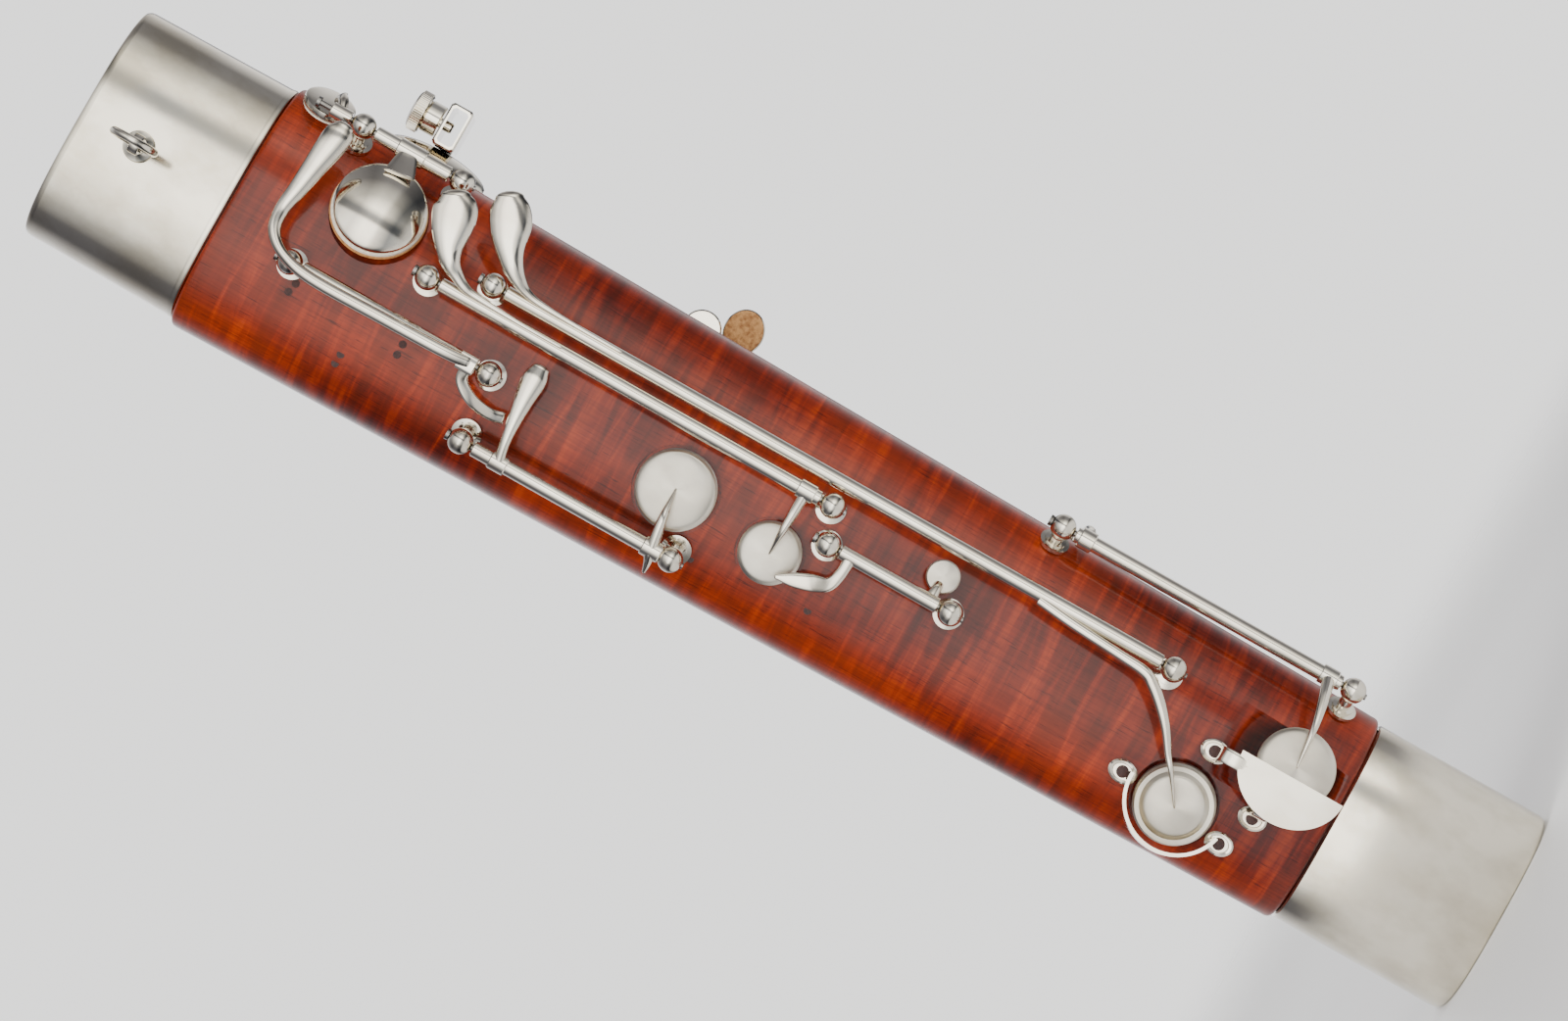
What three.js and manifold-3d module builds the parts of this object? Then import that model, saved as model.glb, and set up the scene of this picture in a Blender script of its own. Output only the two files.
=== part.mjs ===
// Boot joint of a bassoon: double-bored maple body, metal ferrule and cap, keywork and pads.
// Millimetres. The joint stands on its cap: +Z runs up the bores to the sockets, the thumb side
// faces -Y and the player's right-hand side is +X.
import * as THREE from 'three';
import { mergeVertices } from 'three/addons/utils/BufferGeometryUtils.js';
import Module from 'manifold-3d';

const wasm = await Module();
wasm.setup();

// ---- driving dimensions ----
const LENGTH = 445; // whole joint, cap face to socket end
const CAP_TOP = 53; // upper edge of the bottom cap
const FERRULE_BOTTOM = 398; // lower edge of the top ferrule
const WOOD_BOTTOM = { z: 53.5, halfWidth: 31.2, halfDepth: 21 };
const WOOD_TOP = { z: 397.7, halfWidth: 37.4, halfDepth: 25 };
const SECTION_POWER = 2.8; // superellipse power: broad flat faces with rounded sides
const SECTION_POINTS = 28;
const SHEET = 1.2; // metal thickness of ferrule and cap
const GAP = 0.3; // clearance between pieces that touch
const NARROW_BORE = { x: -15.5, bottomRadius: 8.2, topRadius: 6.5 };
const LARGE_BORE = { x: 16.5, bottomRadius: 9.5, topRadius: 12 };
const SOCKET_DEPTH = 38;
const NARROW_SOCKET_RADIUS = 13;
const LARGE_SOCKET_RADIUS = 14.6;
const SPIGOT_BOTTOM = 46; // wood inside the cap ends here
const TUBE_RADIUS = 2.2; // hinge tube
const TUBE_BORE = 1.3;
const ROD_RADIUS = 0.85; // steel rod screw
const BALL_RADIUS = 3.6; // ball post
const BALL_BORE = 1.25;
const STEM_RADIUS = 1.6;
const FOOT_RADIUS = 4.3;
const ROUND = 10; // facets of a small round piece
const CUP_FACETS = 16;
const SEAT_LEAN = 0.6; // how far a pad seat follows the slope of the rounded face
const THUMB = -1; // side of the joint that faces -Y
const FRONT = 1; // side of the joint that faces +Y

// Hinge lines are parallel to the bores: x and y of the line, z of its two ball posts.
const HINGES = {
  b_flat_lever: { x: -7.5, y: -34, top: 374.2, bottom: 312.4 },
  b_flat_key: { x: -26.9, y: -28.5, top: 310.6, bottom: 245.3 },
  low_e: { x: 34.9, y: -24, top: 376.1, bottom: 345.2 },
  a_flat_key: { x: 7.2, y: -33.5, top: 339.8, bottom: 214.1 },
  f_sharp_key: { x: 14, y: -32.5, top: 323.3, bottom: 112 },
  link_key: { x: -2.5, y: -33, top: 210.1, bottom: 172.2 },
  low_f_key: { x: 33.8, y: -19, top: 156.3, bottom: 65.4 },
  g_key: { x: -28, y: 27, top: 240, bottom: 150 },
  f_touch: { x: 22, y: 29.5, top: 263, bottom: 143 },
  a_flat_touch: { x: 12, y: 32.5, top: 281, bottom: 170 },
};

// Pads: place on the wood, radius of the cup, radius of the tone hole under it, and the cup's
// heights above the seat (lower rim, shoulder, middle of the dome).
const PADS = {
  b_flat: { x: -9.4, z: 253.3, side: THUMB, cup: 11.4, hole: 5.5, rim: 2.4, shoulder: 5, dome: 5.8 },
  low_e: { x: 15.7, z: 360.5, side: THUMB, cup: 12.8, hole: 8, rim: 3.6, shoulder: 6.2, dome: 9.4 },
  a_flat: { x: -11.7, z: 222.7, side: THUMB, cup: 8.85, hole: 4.2, rim: 2.2, shoulder: 4.6, dome: 5.2 },
  f_sharp: { x: -16.5, z: 93.3, side: THUMB, cup: 11.5, hole: 6, rim: 2.2, shoulder: 7.6, dome: 8.4 },
  low_f: { x: 6.1, z: 69.8, side: THUMB, cup: 11.1, hole: 6.5, rim: 2.2, shoulder: 4.8, dome: 5.6 },
  g: { x: -13.5, z: 165, side: FRONT, cup: 10.5, hole: 6, rim: 2.2, shoulder: 4.8, dome: 5.6 },
};
const FINGER_HOLES = [{ x: -12, z: 352, radius: 3.6 }, { x: -13, z: 296, radius: 4.2 }];

// Keys that stand open at rest are drawn closed and turned up by these angles.
const LOW_E_OPEN = THREE.MathUtils.degToRad(12);
const LOW_F_OPEN = THREE.MathUtils.degToRad(8);
const G_OPEN = THREE.MathUtils.degToRad(10);

const PUSH_ROD = { x: 3, z: 178.6, radius: 1.4, back: -28.8, front: 28.4 };
const LINK_SPOON = { x: 5.3, radius: 4.7, thickness: 1.4, gap: 0.45 };
const WHISPER_LEAN = THREE.MathUtils.degToRad(32);
const WHISPER_DISC = { x: 35.9, y: -16.4, z: 387.8, radius: 7.6, half: 1.5 };
const F_SHARP_GUARD = { inner: 13.9, outer: 15.1, from: 86, to: 256, top: -28, height: 6.9 };
const LOW_F_GUARD = { x: 4.1, y: -36.2, z: 70, radius: 15.4, bulge: 13.6, thickness: 1.2 };
const STRAP_RING = { z: 426.5, eyeY: -30.2, radius: 6.2, wire: 1.15 };
const HAND_REST_PLATE = { x: 31.6, y: 1, z: 356.5, radii: [9.5, 13, 20], innerX: 36.5 };
const HAND_REST_BLOCK = { x: 47.8, y: -1, z: 356.4, size: [12.8, 14, 6.8], slot: [10.6, 20, 4.8] };
const THUMB_SCREW = { shank: 1.5, hole: 1.9, collar: 4.6, head: 6 };

// ---- materials ----
const maple = { color: 0x6a2214, roughness: 0.28, metalness: 0 };
const nickelSilver = { color: 0xd2cbb8, roughness: 0.22, metalness: 1 };
const steel = { color: 0x9a9a98, roughness: 0.35, metalness: 1 };
const brass = { color: 0xb99a56, roughness: 0.35, metalness: 1 };
const cork = { color: 0xb98652, roughness: 0.9, metalness: 0 };
const leather = { color: 0xc2884e, roughness: 0.75, metalness: 0 };

const joint = new THREE.Group();

// ---- solids ----
function toSolid(geometry) {
  const bare = geometry.index ? geometry.toNonIndexed() : geometry.clone();
  for (const name of Object.keys(bare.attributes)) {
    if (name !== 'position') bare.deleteAttribute(name);
  }
  const merged = mergeVertices(bare, 1e-4);
  return new wasm.Manifold(new wasm.Mesh({
    numProp: 3,
    vertProperties: new Float32Array(merged.attributes.position.array),
    triVerts: new Uint32Array(merged.index.array),
  }));
}

function joined(...geometries) {
  const solids = geometries.map((item) => (item.isBufferGeometry ? toSolid(item) : item));
  return solids.reduce((sum, item) => sum.add(item));
}

function without(base, ...geometries) {
  return joined(base).subtract(joined(...geometries));
}

function addPiece(name, shape, finish) {
  const { vertProperties, triVerts } = joined(shape).getMesh();
  const geometry = new THREE.BufferGeometry();
  geometry.setAttribute('position', new THREE.BufferAttribute(vertProperties, 3));
  geometry.setIndex(new THREE.BufferAttribute(triVerts, 1));
  const mesh = new THREE.Mesh(geometry, new THREE.MeshStandardMaterial(finish));
  mesh.name = name;
  joint.add(mesh);
}

// A turned shape about +Z; profile points are [radius, height] and start and end on the axis.
function turned(profile, facets = ROUND) {
  const geometry = new THREE.LatheGeometry(profile.map(([r, h]) => new THREE.Vector2(r, h)), facets);
  return geometry.rotateX(Math.PI / 2);
}

function cylinder(radius, from, to, facets = ROUND) {
  return turned([[0, from], [radius, from], [radius, to], [0, to]], facets);
}

function cone(fromRadius, from, toRadius, to, facets = ROUND) {
  return turned([[0, from], [fromRadius, from], [toRadius, to], [0, to]], facets);
}

// A bar with an elliptical section along a smooth path.
function bar(points, halfWidth, halfHeight, steps = 6, facets = 6) {
  const section = new THREE.Shape();
  for (let i = 0; i < facets; i += 1) {
    const angle = (2 * Math.PI * (i + 0.5)) / facets;
    const corner = [halfHeight * Math.cos(angle), halfWidth * Math.sin(angle)];
    if (i === 0) section.moveTo(...corner);
    else section.lineTo(...corner);
  }
  const path = new THREE.CatmullRomCurve3(points.map((p) => new THREE.Vector3(...p)));
  return new THREE.ExtrudeGeometry(section, { extrudePath: path, steps, curveSegments: 1 });
}

function ellipsoid(centre, radii, turn = 0) {
  return new THREE.SphereGeometry(1, 10, 6)
    .scale(...radii)
    .rotateY(turn)
    .translate(...centre);
}

// ---- the body's outline ----
function woodSize(z) {
  const share = (z - WOOD_BOTTOM.z) / (WOOD_TOP.z - WOOD_BOTTOM.z);
  return {
    halfWidth: THREE.MathUtils.lerp(WOOD_BOTTOM.halfWidth, WOOD_TOP.halfWidth, share),
    halfDepth: THREE.MathUtils.lerp(WOOD_BOTTOM.halfDepth, WOOD_TOP.halfDepth, share),
  };
}

function outlinePoint(angle, halfWidth, halfDepth) {
  const power = 2 / SECTION_POWER;
  const c = Math.cos(angle);
  const s = Math.sin(angle);
  return new THREE.Vector2(
    halfWidth * Math.sign(c) * Math.abs(c) ** power,
    halfDepth * Math.sign(s) * Math.abs(s) ** power,
  );
}

// Depth of the wood's face at a place across its width, measured from the middle plane.
function faceDepth(x, z) {
  const { halfWidth, halfDepth } = woodSize(z);
  return halfDepth * (1 - Math.abs(x / halfWidth) ** SECTION_POWER) ** (1 / SECTION_POWER);
}

// The body's section carried through levels of [z, halfWidth, halfDepth].
function lofted(levels) {
  const outline = [];
  for (let i = 0; i < SECTION_POINTS; i += 1) {
    outline.push(outlinePoint((2 * Math.PI * i) / SECTION_POINTS, 1, 1));
  }
  const last = levels.length - 1;
  const geometry = new THREE.ExtrudeGeometry(new THREE.Shape(outline), {
    depth: last, steps: last, bevelEnabled: false,
  });
  const position = geometry.attributes.position;
  for (let i = 0; i < position.count; i += 1) {
    const [z, halfWidth, halfDepth] = levels[Math.round(position.getZ(i))];
    position.setXYZ(i, position.getX(i) * halfWidth, position.getY(i) * halfDepth, z);
  }
  return geometry;
}

// Frame of a flat seat on the wood: the chord of the outline across the seat, z along the bores,
// and the outward direction. The seat's middle is the origin.
function seatFrame({ x, z, side, cup }) {
  const ends = [x - cup, x + cup].map((at) => new THREE.Vector3(at, side * faceDepth(at, z), z));
  const across = ends[1].clone().sub(ends[0]).multiply(new THREE.Vector3(1, SEAT_LEAN, 1));
  across.normalize().multiplyScalar(-side);
  const up = new THREE.Vector3(0, 0, 1);
  const outward = across.clone().cross(up);
  const middle = ends[0].clone().add(ends[1]).multiplyScalar(0.5);
  return new THREE.Matrix4().makeBasis(across, up, outward).setPosition(middle);
}

function seatPoint(pad, height) {
  return new THREE.Vector3(0, 0, height).applyMatrix4(seatFrame(pad)).toArray();
}

function swung(geometry, hinge, angle) {
  return geometry
    .translate(-hinge.x, -hinge.y, 0)
    .rotateZ(angle)
    .translate(hinge.x, hinge.y, 0);
}

// ---- body, ferrule, cap and U-tube ----
function toneHoles() {
  const cuts = [];
  for (const pad of Object.values(PADS)) {
    const frame = seatFrame(pad);
    cuts.push(cylinder(pad.cup + 0.9, 0, 9, CUP_FACETS).applyMatrix4(frame));
    cuts.push(cylinder(pad.hole, -22, 1).applyMatrix4(frame));
  }
  for (const { x, z, radius } of FINGER_HOLES) {
    cuts.push(cylinder(radius, 0, 30).rotateX(-Math.PI / 2).translate(x, 0, z));
  }
  return cuts;
}

function bores() {
  const top = LENGTH + 1;
  const socketFloor = LENGTH - SOCKET_DEPTH;
  const { x: narrowX, bottomRadius: narrowBottom, topRadius: narrowTop } = NARROW_BORE;
  const { x: largeX, bottomRadius: largeBottom, topRadius: largeTop } = LARGE_BORE;
  return [
    cone(narrowBottom, SPIGOT_BOTTOM - 1, narrowTop, socketFloor + 1, 14).translate(narrowX, 0, 0),
    cone(largeBottom, SPIGOT_BOTTOM - 1, largeTop, socketFloor + 1, 14).translate(largeX, 0, 0),
    cylinder(NARROW_SOCKET_RADIUS, socketFloor, top, 20).translate(narrowX, 0, 0),
    cylinder(LARGE_SOCKET_RADIUS, socketFloor, top, 20).translate(largeX, 0, 0),
  ];
}

function addWoodBody() {
  const { halfWidth: low, halfDepth: lowDepth } = WOOD_BOTTOM;
  const { halfWidth: high, halfDepth: highDepth } = WOOD_TOP;
  const edge = 1.3;
  const wood = lofted([
    [SPIGOT_BOTTOM, 28.2, 18.2],
    [CAP_TOP + GAP, 28.2, 18.2],
    [WOOD_BOTTOM.z, low - edge, lowDepth - edge],
    [WOOD_BOTTOM.z + edge, low, lowDepth],
    [WOOD_TOP.z - edge, high, highDepth],
    [WOOD_TOP.z, high - edge, highDepth - edge],
    [WOOD_TOP.z + 0.1, 33.9, 22.3],
    [LENGTH - 1.2, 32.7, 21.7],
  ]);
  const channel = cylinder(PUSH_ROD.radius + 0.5, -30, 30, 8)
    .rotateX(-Math.PI / 2)
    .translate(PUSH_ROD.x, 0, PUSH_ROD.z);
  addPiece('wood_body', without(wood, ...bores(), ...toneHoles(), channel), maple);
}

function addTopFerrule() {
  const outside = lofted([
    [FERRULE_BOTTOM, 35.9, 24.3],
    [LENGTH, 35.2, 24.2],
  ]);
  const inside = lofted([
    [FERRULE_BOTTOM - 1, 34.2, 22.65],
    [LENGTH + 1, 33.0, 22.0],
  ]);
  addPiece('top_ferrule', without(outside, inside), nickelSilver);
}

function addBottomCap() {
  const outside = lofted([
    [0, 30.2, 20.5],
    [CAP_TOP, 30.2, 20.5],
  ]);
  const inside = lofted([
    [SHEET + 0.3, 29.8 - SHEET, 20 - SHEET],
    [CAP_TOP + 1, 29.8 - SHEET, 20 - SHEET],
  ]);
  addPiece('bottom_cap', without(outside, inside), nickelSilver);
}

function addUTube() {
  const flangeBottom = 40.6;
  const flangeTop = 42.6;
  const turnRadius = (LARGE_BORE.x - NARROW_BORE.x) / 2;
  const middle = (LARGE_BORE.x + NARROW_BORE.x) / 2;
  const arcZ = flangeBottom - 2;
  const points = [[NARROW_BORE.x, 0, flangeTop + 2]];
  for (let i = 0; i <= 8; i += 1) {
    const angle = Math.PI * (1 + i / 8);
    points.push([middle + turnRadius * Math.cos(angle), 0, arcZ + turnRadius * Math.sin(angle)]);
  }
  points.push([LARGE_BORE.x, 0, flangeTop + 2]);
  const wall = bar(points, 9.4, 9.4, 12, 12);
  const bore = bar(points, 8.2, 8.2, 12, 12);
  const flange = lofted([[flangeBottom, 27.6, 17.8], [flangeTop, 27.6, 17.8]]);
  const above = cylinder(40, flangeTop, flangeTop + 9, 8);
  addPiece('u_tube', without(joined(wall, flange), bore, above), brass);
  const gasket = lofted([[flangeTop + GAP, 27.6, 17.8], [SPIGOT_BOTTOM - GAP, 27.6, 17.8]]);
  const holes = [NARROW_BORE.x, LARGE_BORE.x].map((x) => cylinder(9.8, 40, 50, 16).translate(x, 0, 0));
  addPiece('u_tube_gasket', without(gasket, ...holes), cork);
}

// ---- ball posts, rods and hinge tubes ----
// Foot of the shortest line from a hinge line to the wood at one height.
function footOf(hinge, z) {
  const { halfWidth, halfDepth } = woodSize(z);
  const target = new THREE.Vector2(hinge.x, hinge.y);
  let best = outlinePoint(0, halfWidth, halfDepth);
  for (let i = 1; i < 720; i += 1) {
    const point = outlinePoint((i * Math.PI) / 360, halfWidth, halfDepth);
    if (point.distanceTo(target) < best.distanceTo(target)) best = point;
  }
  return best;
}

function addPost(name, hinge, z) {
  const foot = footOf(hinge, z);
  const reach = new THREE.Vector2(hinge.x, hinge.y).sub(foot);
  const height = reach.length();
  const profile = [
    [0, GAP], [FOOT_RADIUS, GAP], [FOOT_RADIUS, GAP + 0.9], [2.6, GAP + 1.6],
    [STEM_RADIUS, GAP + 2.8], [STEM_RADIUS, height - 3.2],
  ];
  for (let i = 2; i < 6; i += 1) {
    const angle = (Math.PI * (i / 6 - 0.5));
    profile.push([BALL_RADIUS * Math.cos(angle), height + BALL_RADIUS * Math.sin(angle)]);
  }
  profile.push([0, height + BALL_RADIUS]);
  const outward = new THREE.Vector3(reach.x / height, reach.y / height, 0);
  const along = new THREE.Vector3(0, 0, 1);
  const frame = new THREE.Matrix4()
    .makeBasis(along.clone().cross(outward), along, outward)
    .setPosition(foot.x, foot.y, z);
  const bore = cylinder(BALL_BORE, z - 6, z + 6, 8).translate(hinge.x, hinge.y, 0);
  addPiece(name, without(turned(profile, 8).applyMatrix4(frame), bore), nickelSilver);
}

function addHinge(name) {
  const hinge = HINGES[name];
  addPost(`${name}_post_upper`, hinge, hinge.top);
  addPost(`${name}_post_lower`, hinge, hinge.bottom);
  const end = hinge.top + BALL_RADIUS + 0.7;
  const reach = name === 'low_e' ? 10 : 0;
  const rod = turned([
    [0, hinge.bottom - BALL_RADIUS - 0.3], [ROD_RADIUS, hinge.bottom - BALL_RADIUS - 0.3],
    [ROD_RADIUS, end + reach - 0.9], [1.6, end + reach - 0.9], [1.6, end + reach], [0, end + reach],
  ], 8);
  addPiece(`${name}_rod`, rod.translate(hinge.x, hinge.y, 0), steel);
}

// The hinge tube fills the room between its two posts.
function hingeTube(hinge) {
  const from = hinge.bottom + BALL_RADIUS + GAP;
  const to = hinge.top - BALL_RADIUS - GAP;
  return cylinder(TUBE_RADIUS, from, to).translate(hinge.x, hinge.y, 0);
}

function hingeBore(hinge) {
  return cylinder(TUBE_BORE, 0, LENGTH, 8).translate(hinge.x, hinge.y, 0);
}

function addKey(name, hinge, pieces) {
  addPiece(name, without(joined(hingeTube(hinge), ...pieces), hingeBore(hinge)), nickelSilver);
}

// ---- pad cups ----
function cupShell(pad) {
  const lip = pad.cup - 0.9;
  const ceiling = pad.shoulder - 1;
  return turned([
    [0, ceiling], [lip, ceiling], [lip, pad.rim], [pad.cup, pad.rim],
    [pad.cup, pad.shoulder - 0.8], [pad.cup - 0.9, pad.shoulder],
    [pad.cup * 0.55, pad.shoulder + (pad.dome - pad.shoulder) * 0.7], [0, pad.dome],
  ], CUP_FACETS).applyMatrix4(seatFrame(pad));
}

function padDisc(pad) {
  const radius = pad.cup - 0.9 - GAP;
  return cylinder(radius, GAP, pad.shoulder - 1 - GAP, CUP_FACETS).applyMatrix4(seatFrame(pad));
}

function overCup(pad, lift) {
  return seatPoint(pad, pad.dome + lift);
}

// ---- thumb keys ----
function addBFlatLever() {
  const hinge = HINGES.b_flat_lever;
  const y = hinge.y;
  addHinge('b_flat_lever');
  addKey('b_flat_lever', hinge, [
    bar([
      [-7.9, y - 2.8, 317.8], [-8.2, y - 3.6, 321], [-8.7, y - 4.6, 330], [-8.8, y - 5.6, 350],
      [-8.8, y - 6.2, 368], [-6.7, y - 6, 376.1], [-2.7, y - 5.4, 381.2], [3.3, y - 4.6, 382.6],
      [12, y - 3.8, 381.6], [24, y - 3, 380],
    ], 1.9, 1.7, 20),
    ellipsoid([23.4, y - 3, 380], [9.2, 1.9, 3.9], 0.1),
    bar([
      [-7.9, y - 1.8, 318.6], [-12.8, y + 0.5, 318.6], [-16.2, y + 2, 313], [-16.6, y + 4.6, 306.8],
      [-15.8, y + 5.4, 303.7],
    ], 1.5, 1.5, 9),
  ]);
}

function addBFlatKey() {
  const hinge = HINGES.b_flat_key;
  const pad = PADS.b_flat;
  addHinge('b_flat_key');
  const spoonY = hinge.y - 2.6;
  addKey('b_flat_key', hinge, [
    bar([[-26.9, hinge.y, 298.6], [-18.9, spoonY, 300.1], [-8.9, spoonY, 301.3]], 1.7, 1.5, 6),
    ellipsoid([-9.3, spoonY, 301.4], [6.2, 1.5, 3.2]),
    bar([
      [-33.6, hinge.y + 3.4, 250], [-26.9, hinge.y - 0.8, 251.1],
      [-17.9, hinge.y - 2.4, 252.5], overCup(pad, 0.1),
    ], 1.7, 1.5, 8),
    cupShell(pad),
  ]);
  addPiece('b_flat_pad', padDisc(pad), leather);
}

function addLowEKey() {
  const hinge = HINGES.low_e;
  const pad = PADS.low_e;
  addHinge('low_e');
  const arm = bar([
    [hinge.x, hinge.y, 360.6], [32.1, hinge.y - 2.6, 360.5], [30.3, hinge.y - 4.8, 360.3],
  ], 4, 1.2, 3);
  const key = [arm, cupShell(pad)].map((item) => swung(item, hinge, LOW_E_OPEN));
  addKey('low_e_key', hinge, key);
  addPiece('low_e_pad', swung(padDisc(pad), hinge, LOW_E_OPEN), leather);
  const disc = WHISPER_DISC;
  const bridgeFrom = hinge.top + BALL_RADIUS + GAP;
  const bridge = joined(
    cylinder(TUBE_RADIUS, bridgeFrom, bridgeFrom + 6).translate(hinge.x, hinge.y, 0),
    bar([[34.9, hinge.y, 383.4], [38.6, hinge.y + 2, 384.6], [39.4, hinge.y + 6, 386]], 1.4, 1.4, 5),
    cylinder(disc.radius, -disc.half, disc.half, 16)
      .rotateY(Math.PI / 2)
      .rotateZ(-WHISPER_LEAN)
      .translate(disc.x, disc.y, disc.z),
  );
  addPiece('whisper_bridge', without(bridge, hingeBore(hinge)), nickelSilver);
}

// A comma-shaped thumb plate: a long oval head whose neck curves into a thin tail on the hinge tube.
function commaTouch(hinge, head, neck, tail) {
  const y = hinge.y;
  const lean = Math.atan2(head.x - neck.x, head.z - neck.z) - Math.PI / 2;
  return [
    bar([[hinge.x + 0.8, y - 1.4, tail], [hinge.x + 0.7, y - 1.6, tail + 27]], 1.1, 1, 1),
    bar([
      [hinge.x + 0.6, y - 1.6, tail + 24], [hinge.x + 2.2, y - 2.4, tail + 31],
      [neck.x, y - 3, neck.z], [head.x, y - 3, head.z],
    ], 2.6, 1.6, 7),
    ellipsoid([head.x, y - 3, head.z], [9.6, 2.2, 6.2], lean),
  ];
}

function addAFlatKey() {
  const hinge = HINGES.a_flat_key;
  const pad = PADS.a_flat;
  addHinge('a_flat_key');
  addKey('a_flat_key', hinge, [
    ...commaTouch(hinge, { x: 24.2, z: 340.4 }, { x: 15.2, z: 336.6 }, 299),
    bar([[hinge.x, hinge.y, 222.2], [0.6, hinge.y + 1, 222.4], overCup(pad, 0.1)], 1.6, 1.4, 6),
    cupShell(pad),
  ]);
  addPiece('a_flat_pad', padDisc(pad), leather);
}

function addFSharpKey() {
  const hinge = HINGES.f_sharp_key;
  const pad = PADS.f_sharp;
  addHinge('f_sharp_key');
  addKey('f_sharp_key', hinge, [
    ...commaTouch(hinge, { x: 31.2, z: 327.4 }, { x: 22.6, z: 322.4 }, 284.4),
    bar([
      [12.6, hinge.y - 0.8, 153], [11.4, hinge.y - 1.4, 140], [10.3, hinge.y - 1.6, 127],
      [9.4, hinge.y - 1.8, 118.7], [6.4, hinge.y - 1.8, 113.4], [-0.9, hinge.y - 1.2, 106.2],
      [-8.6, hinge.y, 100.2], overCup(pad, 0.1),
    ], 1.9, 1.7, 16),
    cupShell(pad),
  ]);
  addPiece('f_sharp_pad', padDisc(pad), leather);
}

function addLinkKey() {
  const hinge = HINGES.link_key;
  addHinge('link_key');
  const blade = hinge.y + 2.6;
  const { x: spoonX, radius, thickness, gap } = LINK_SPOON;
  const spoon = cylinder(radius, 0, thickness, 14)
    .rotateX(Math.PI / 2)
    .translate(spoonX, PUSH_ROD.back - gap, PUSH_ROD.z);
  addKey('link_key', hinge, [
    bar([
      [-2.6, hinge.y, 202.9], [-7.6, hinge.y - 0.4, 203.1], [-11.8, hinge.y, 204.3],
      [-14.2, blade, 210.5], [-17, blade, 218.3],
    ], 1.5, 0.9, 12),
    bar([
      [-2.6, hinge.y, 178.9], [0.9, hinge.y + 1.1, 178.7],
      [spoonX, PUSH_ROD.back - thickness - 0.5, PUSH_ROD.z],
    ], 1.6, 1.1, 5),
    spoon,
  ]);
}

function addLowFKey() {
  const hinge = HINGES.low_f_key;
  const pad = PADS.low_f;
  addHinge('low_f_key');
  const collar = ellipsoid([hinge.x, hinge.y, 149], [3, 3, 2.6]);
  const lugPath = [[34.4, hinge.y + 1, 149], [36.6, hinge.y + 5, 149], [36.6, hinge.y + 11, 150]];
  const lug = bar(lugPath, 1.4, 1.1, 4);
  const arm = bar([
    [hinge.x, hinge.y, 73.2], [27.4, hinge.y - 5, 72.2], [18.4, hinge.y - 7.4, 70.7], overCup(pad, 0.1),
  ], 1.8, 1.5, 8);
  addKey('low_f_key', hinge, [
    collar, lug, swung(arm, hinge, LOW_F_OPEN), swung(cupShell(pad), hinge, LOW_F_OPEN),
  ]);
  addPiece('low_f_pad', swung(padDisc(pad), hinge, LOW_F_OPEN), leather);
}

// ---- front keys ----
function addGKey() {
  const hinge = HINGES.g_key;
  const pad = PADS.g;
  addHinge('g_key');
  const plateau = cylinder(8.6, 0, 2.2, 16).rotateX(-Math.PI / 2).translate(-13.5, 30, 224);
  const arms = [
    bar([[-28, hinge.y, 224], [-22, hinge.y + 3.6, 224], [-14, hinge.y + 4.4, 224]], 1.8, 1.3, 5),
    bar([[-28, hinge.y, 165], [-22, hinge.y + 3.2, 165], overCup(pad, 0.1)], 1.8, 1.5, 5),
  ];
  const lifted = [plateau, ...arms, cupShell(pad)].map((item) => swung(item, hinge, G_OPEN));
  addKey('g_key', hinge, lifted);
  addPiece('g_pad', swung(padDisc(pad), hinge, G_OPEN), leather);
}

function addFTouch() {
  const hinge = HINGES.f_touch;
  addHinge('f_touch');
  addKey('f_touch', hinge, [
    bar([
      [22, hinge.y, 251], [27, hinge.y + 2, 253], [33, hinge.y - 1, 257], [38, hinge.y - 4, 259],
    ], 2.6, 1.4, 8),
    cylinder(5.8, 0, 2.6, 16).rotateX(-Math.PI / 2).translate(40.3, hinge.y - 5.6, 259.7),
    bar([
      [22, hinge.y, 151], [29, hinge.y - 3, 151], [34.8, hinge.y - 10, 151], [35.9, hinge.y - 17, 151],
    ], 1.6, 1.1, 8),
  ]);
}

function addAFlatTouch() {
  const hinge = HINGES.a_flat_touch;
  addHinge('a_flat_touch');
  addKey('a_flat_touch', hinge, [
    bar([
      [12, hinge.y, 273], [20, hinge.y + 1.4, 273.4], [28, hinge.y - 2, 272], [34, hinge.y - 6, 271],
    ], 2.4, 1.4, 8),
    cylinder(5.6, 0, 1.8, 16).rotateX(-Math.PI / 2).translate(35.2, hinge.y - 8.4, 270.4),
    bar([
      [12, hinge.y, PUSH_ROD.z], [7, hinge.y + 0.6, PUSH_ROD.z],
      [PUSH_ROD.x, PUSH_ROD.front + 2.1, PUSH_ROD.z],
    ],
      1.6, 1.3, 5),
    cylinder(2.6, 0, 1.6, 10).rotateX(-Math.PI / 2).translate(PUSH_ROD.x, PUSH_ROD.front + GAP, PUSH_ROD.z),
  ]);
}

function addPushRod() {
  const length = PUSH_ROD.front - PUSH_ROD.back;
  const rod = cylinder(PUSH_ROD.radius, 0, length, 8)
    .rotateX(-Math.PI / 2)
    .translate(PUSH_ROD.x, PUSH_ROD.back, PUSH_ROD.z);
  addPiece('push_rod', rod, steel);
}

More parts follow.
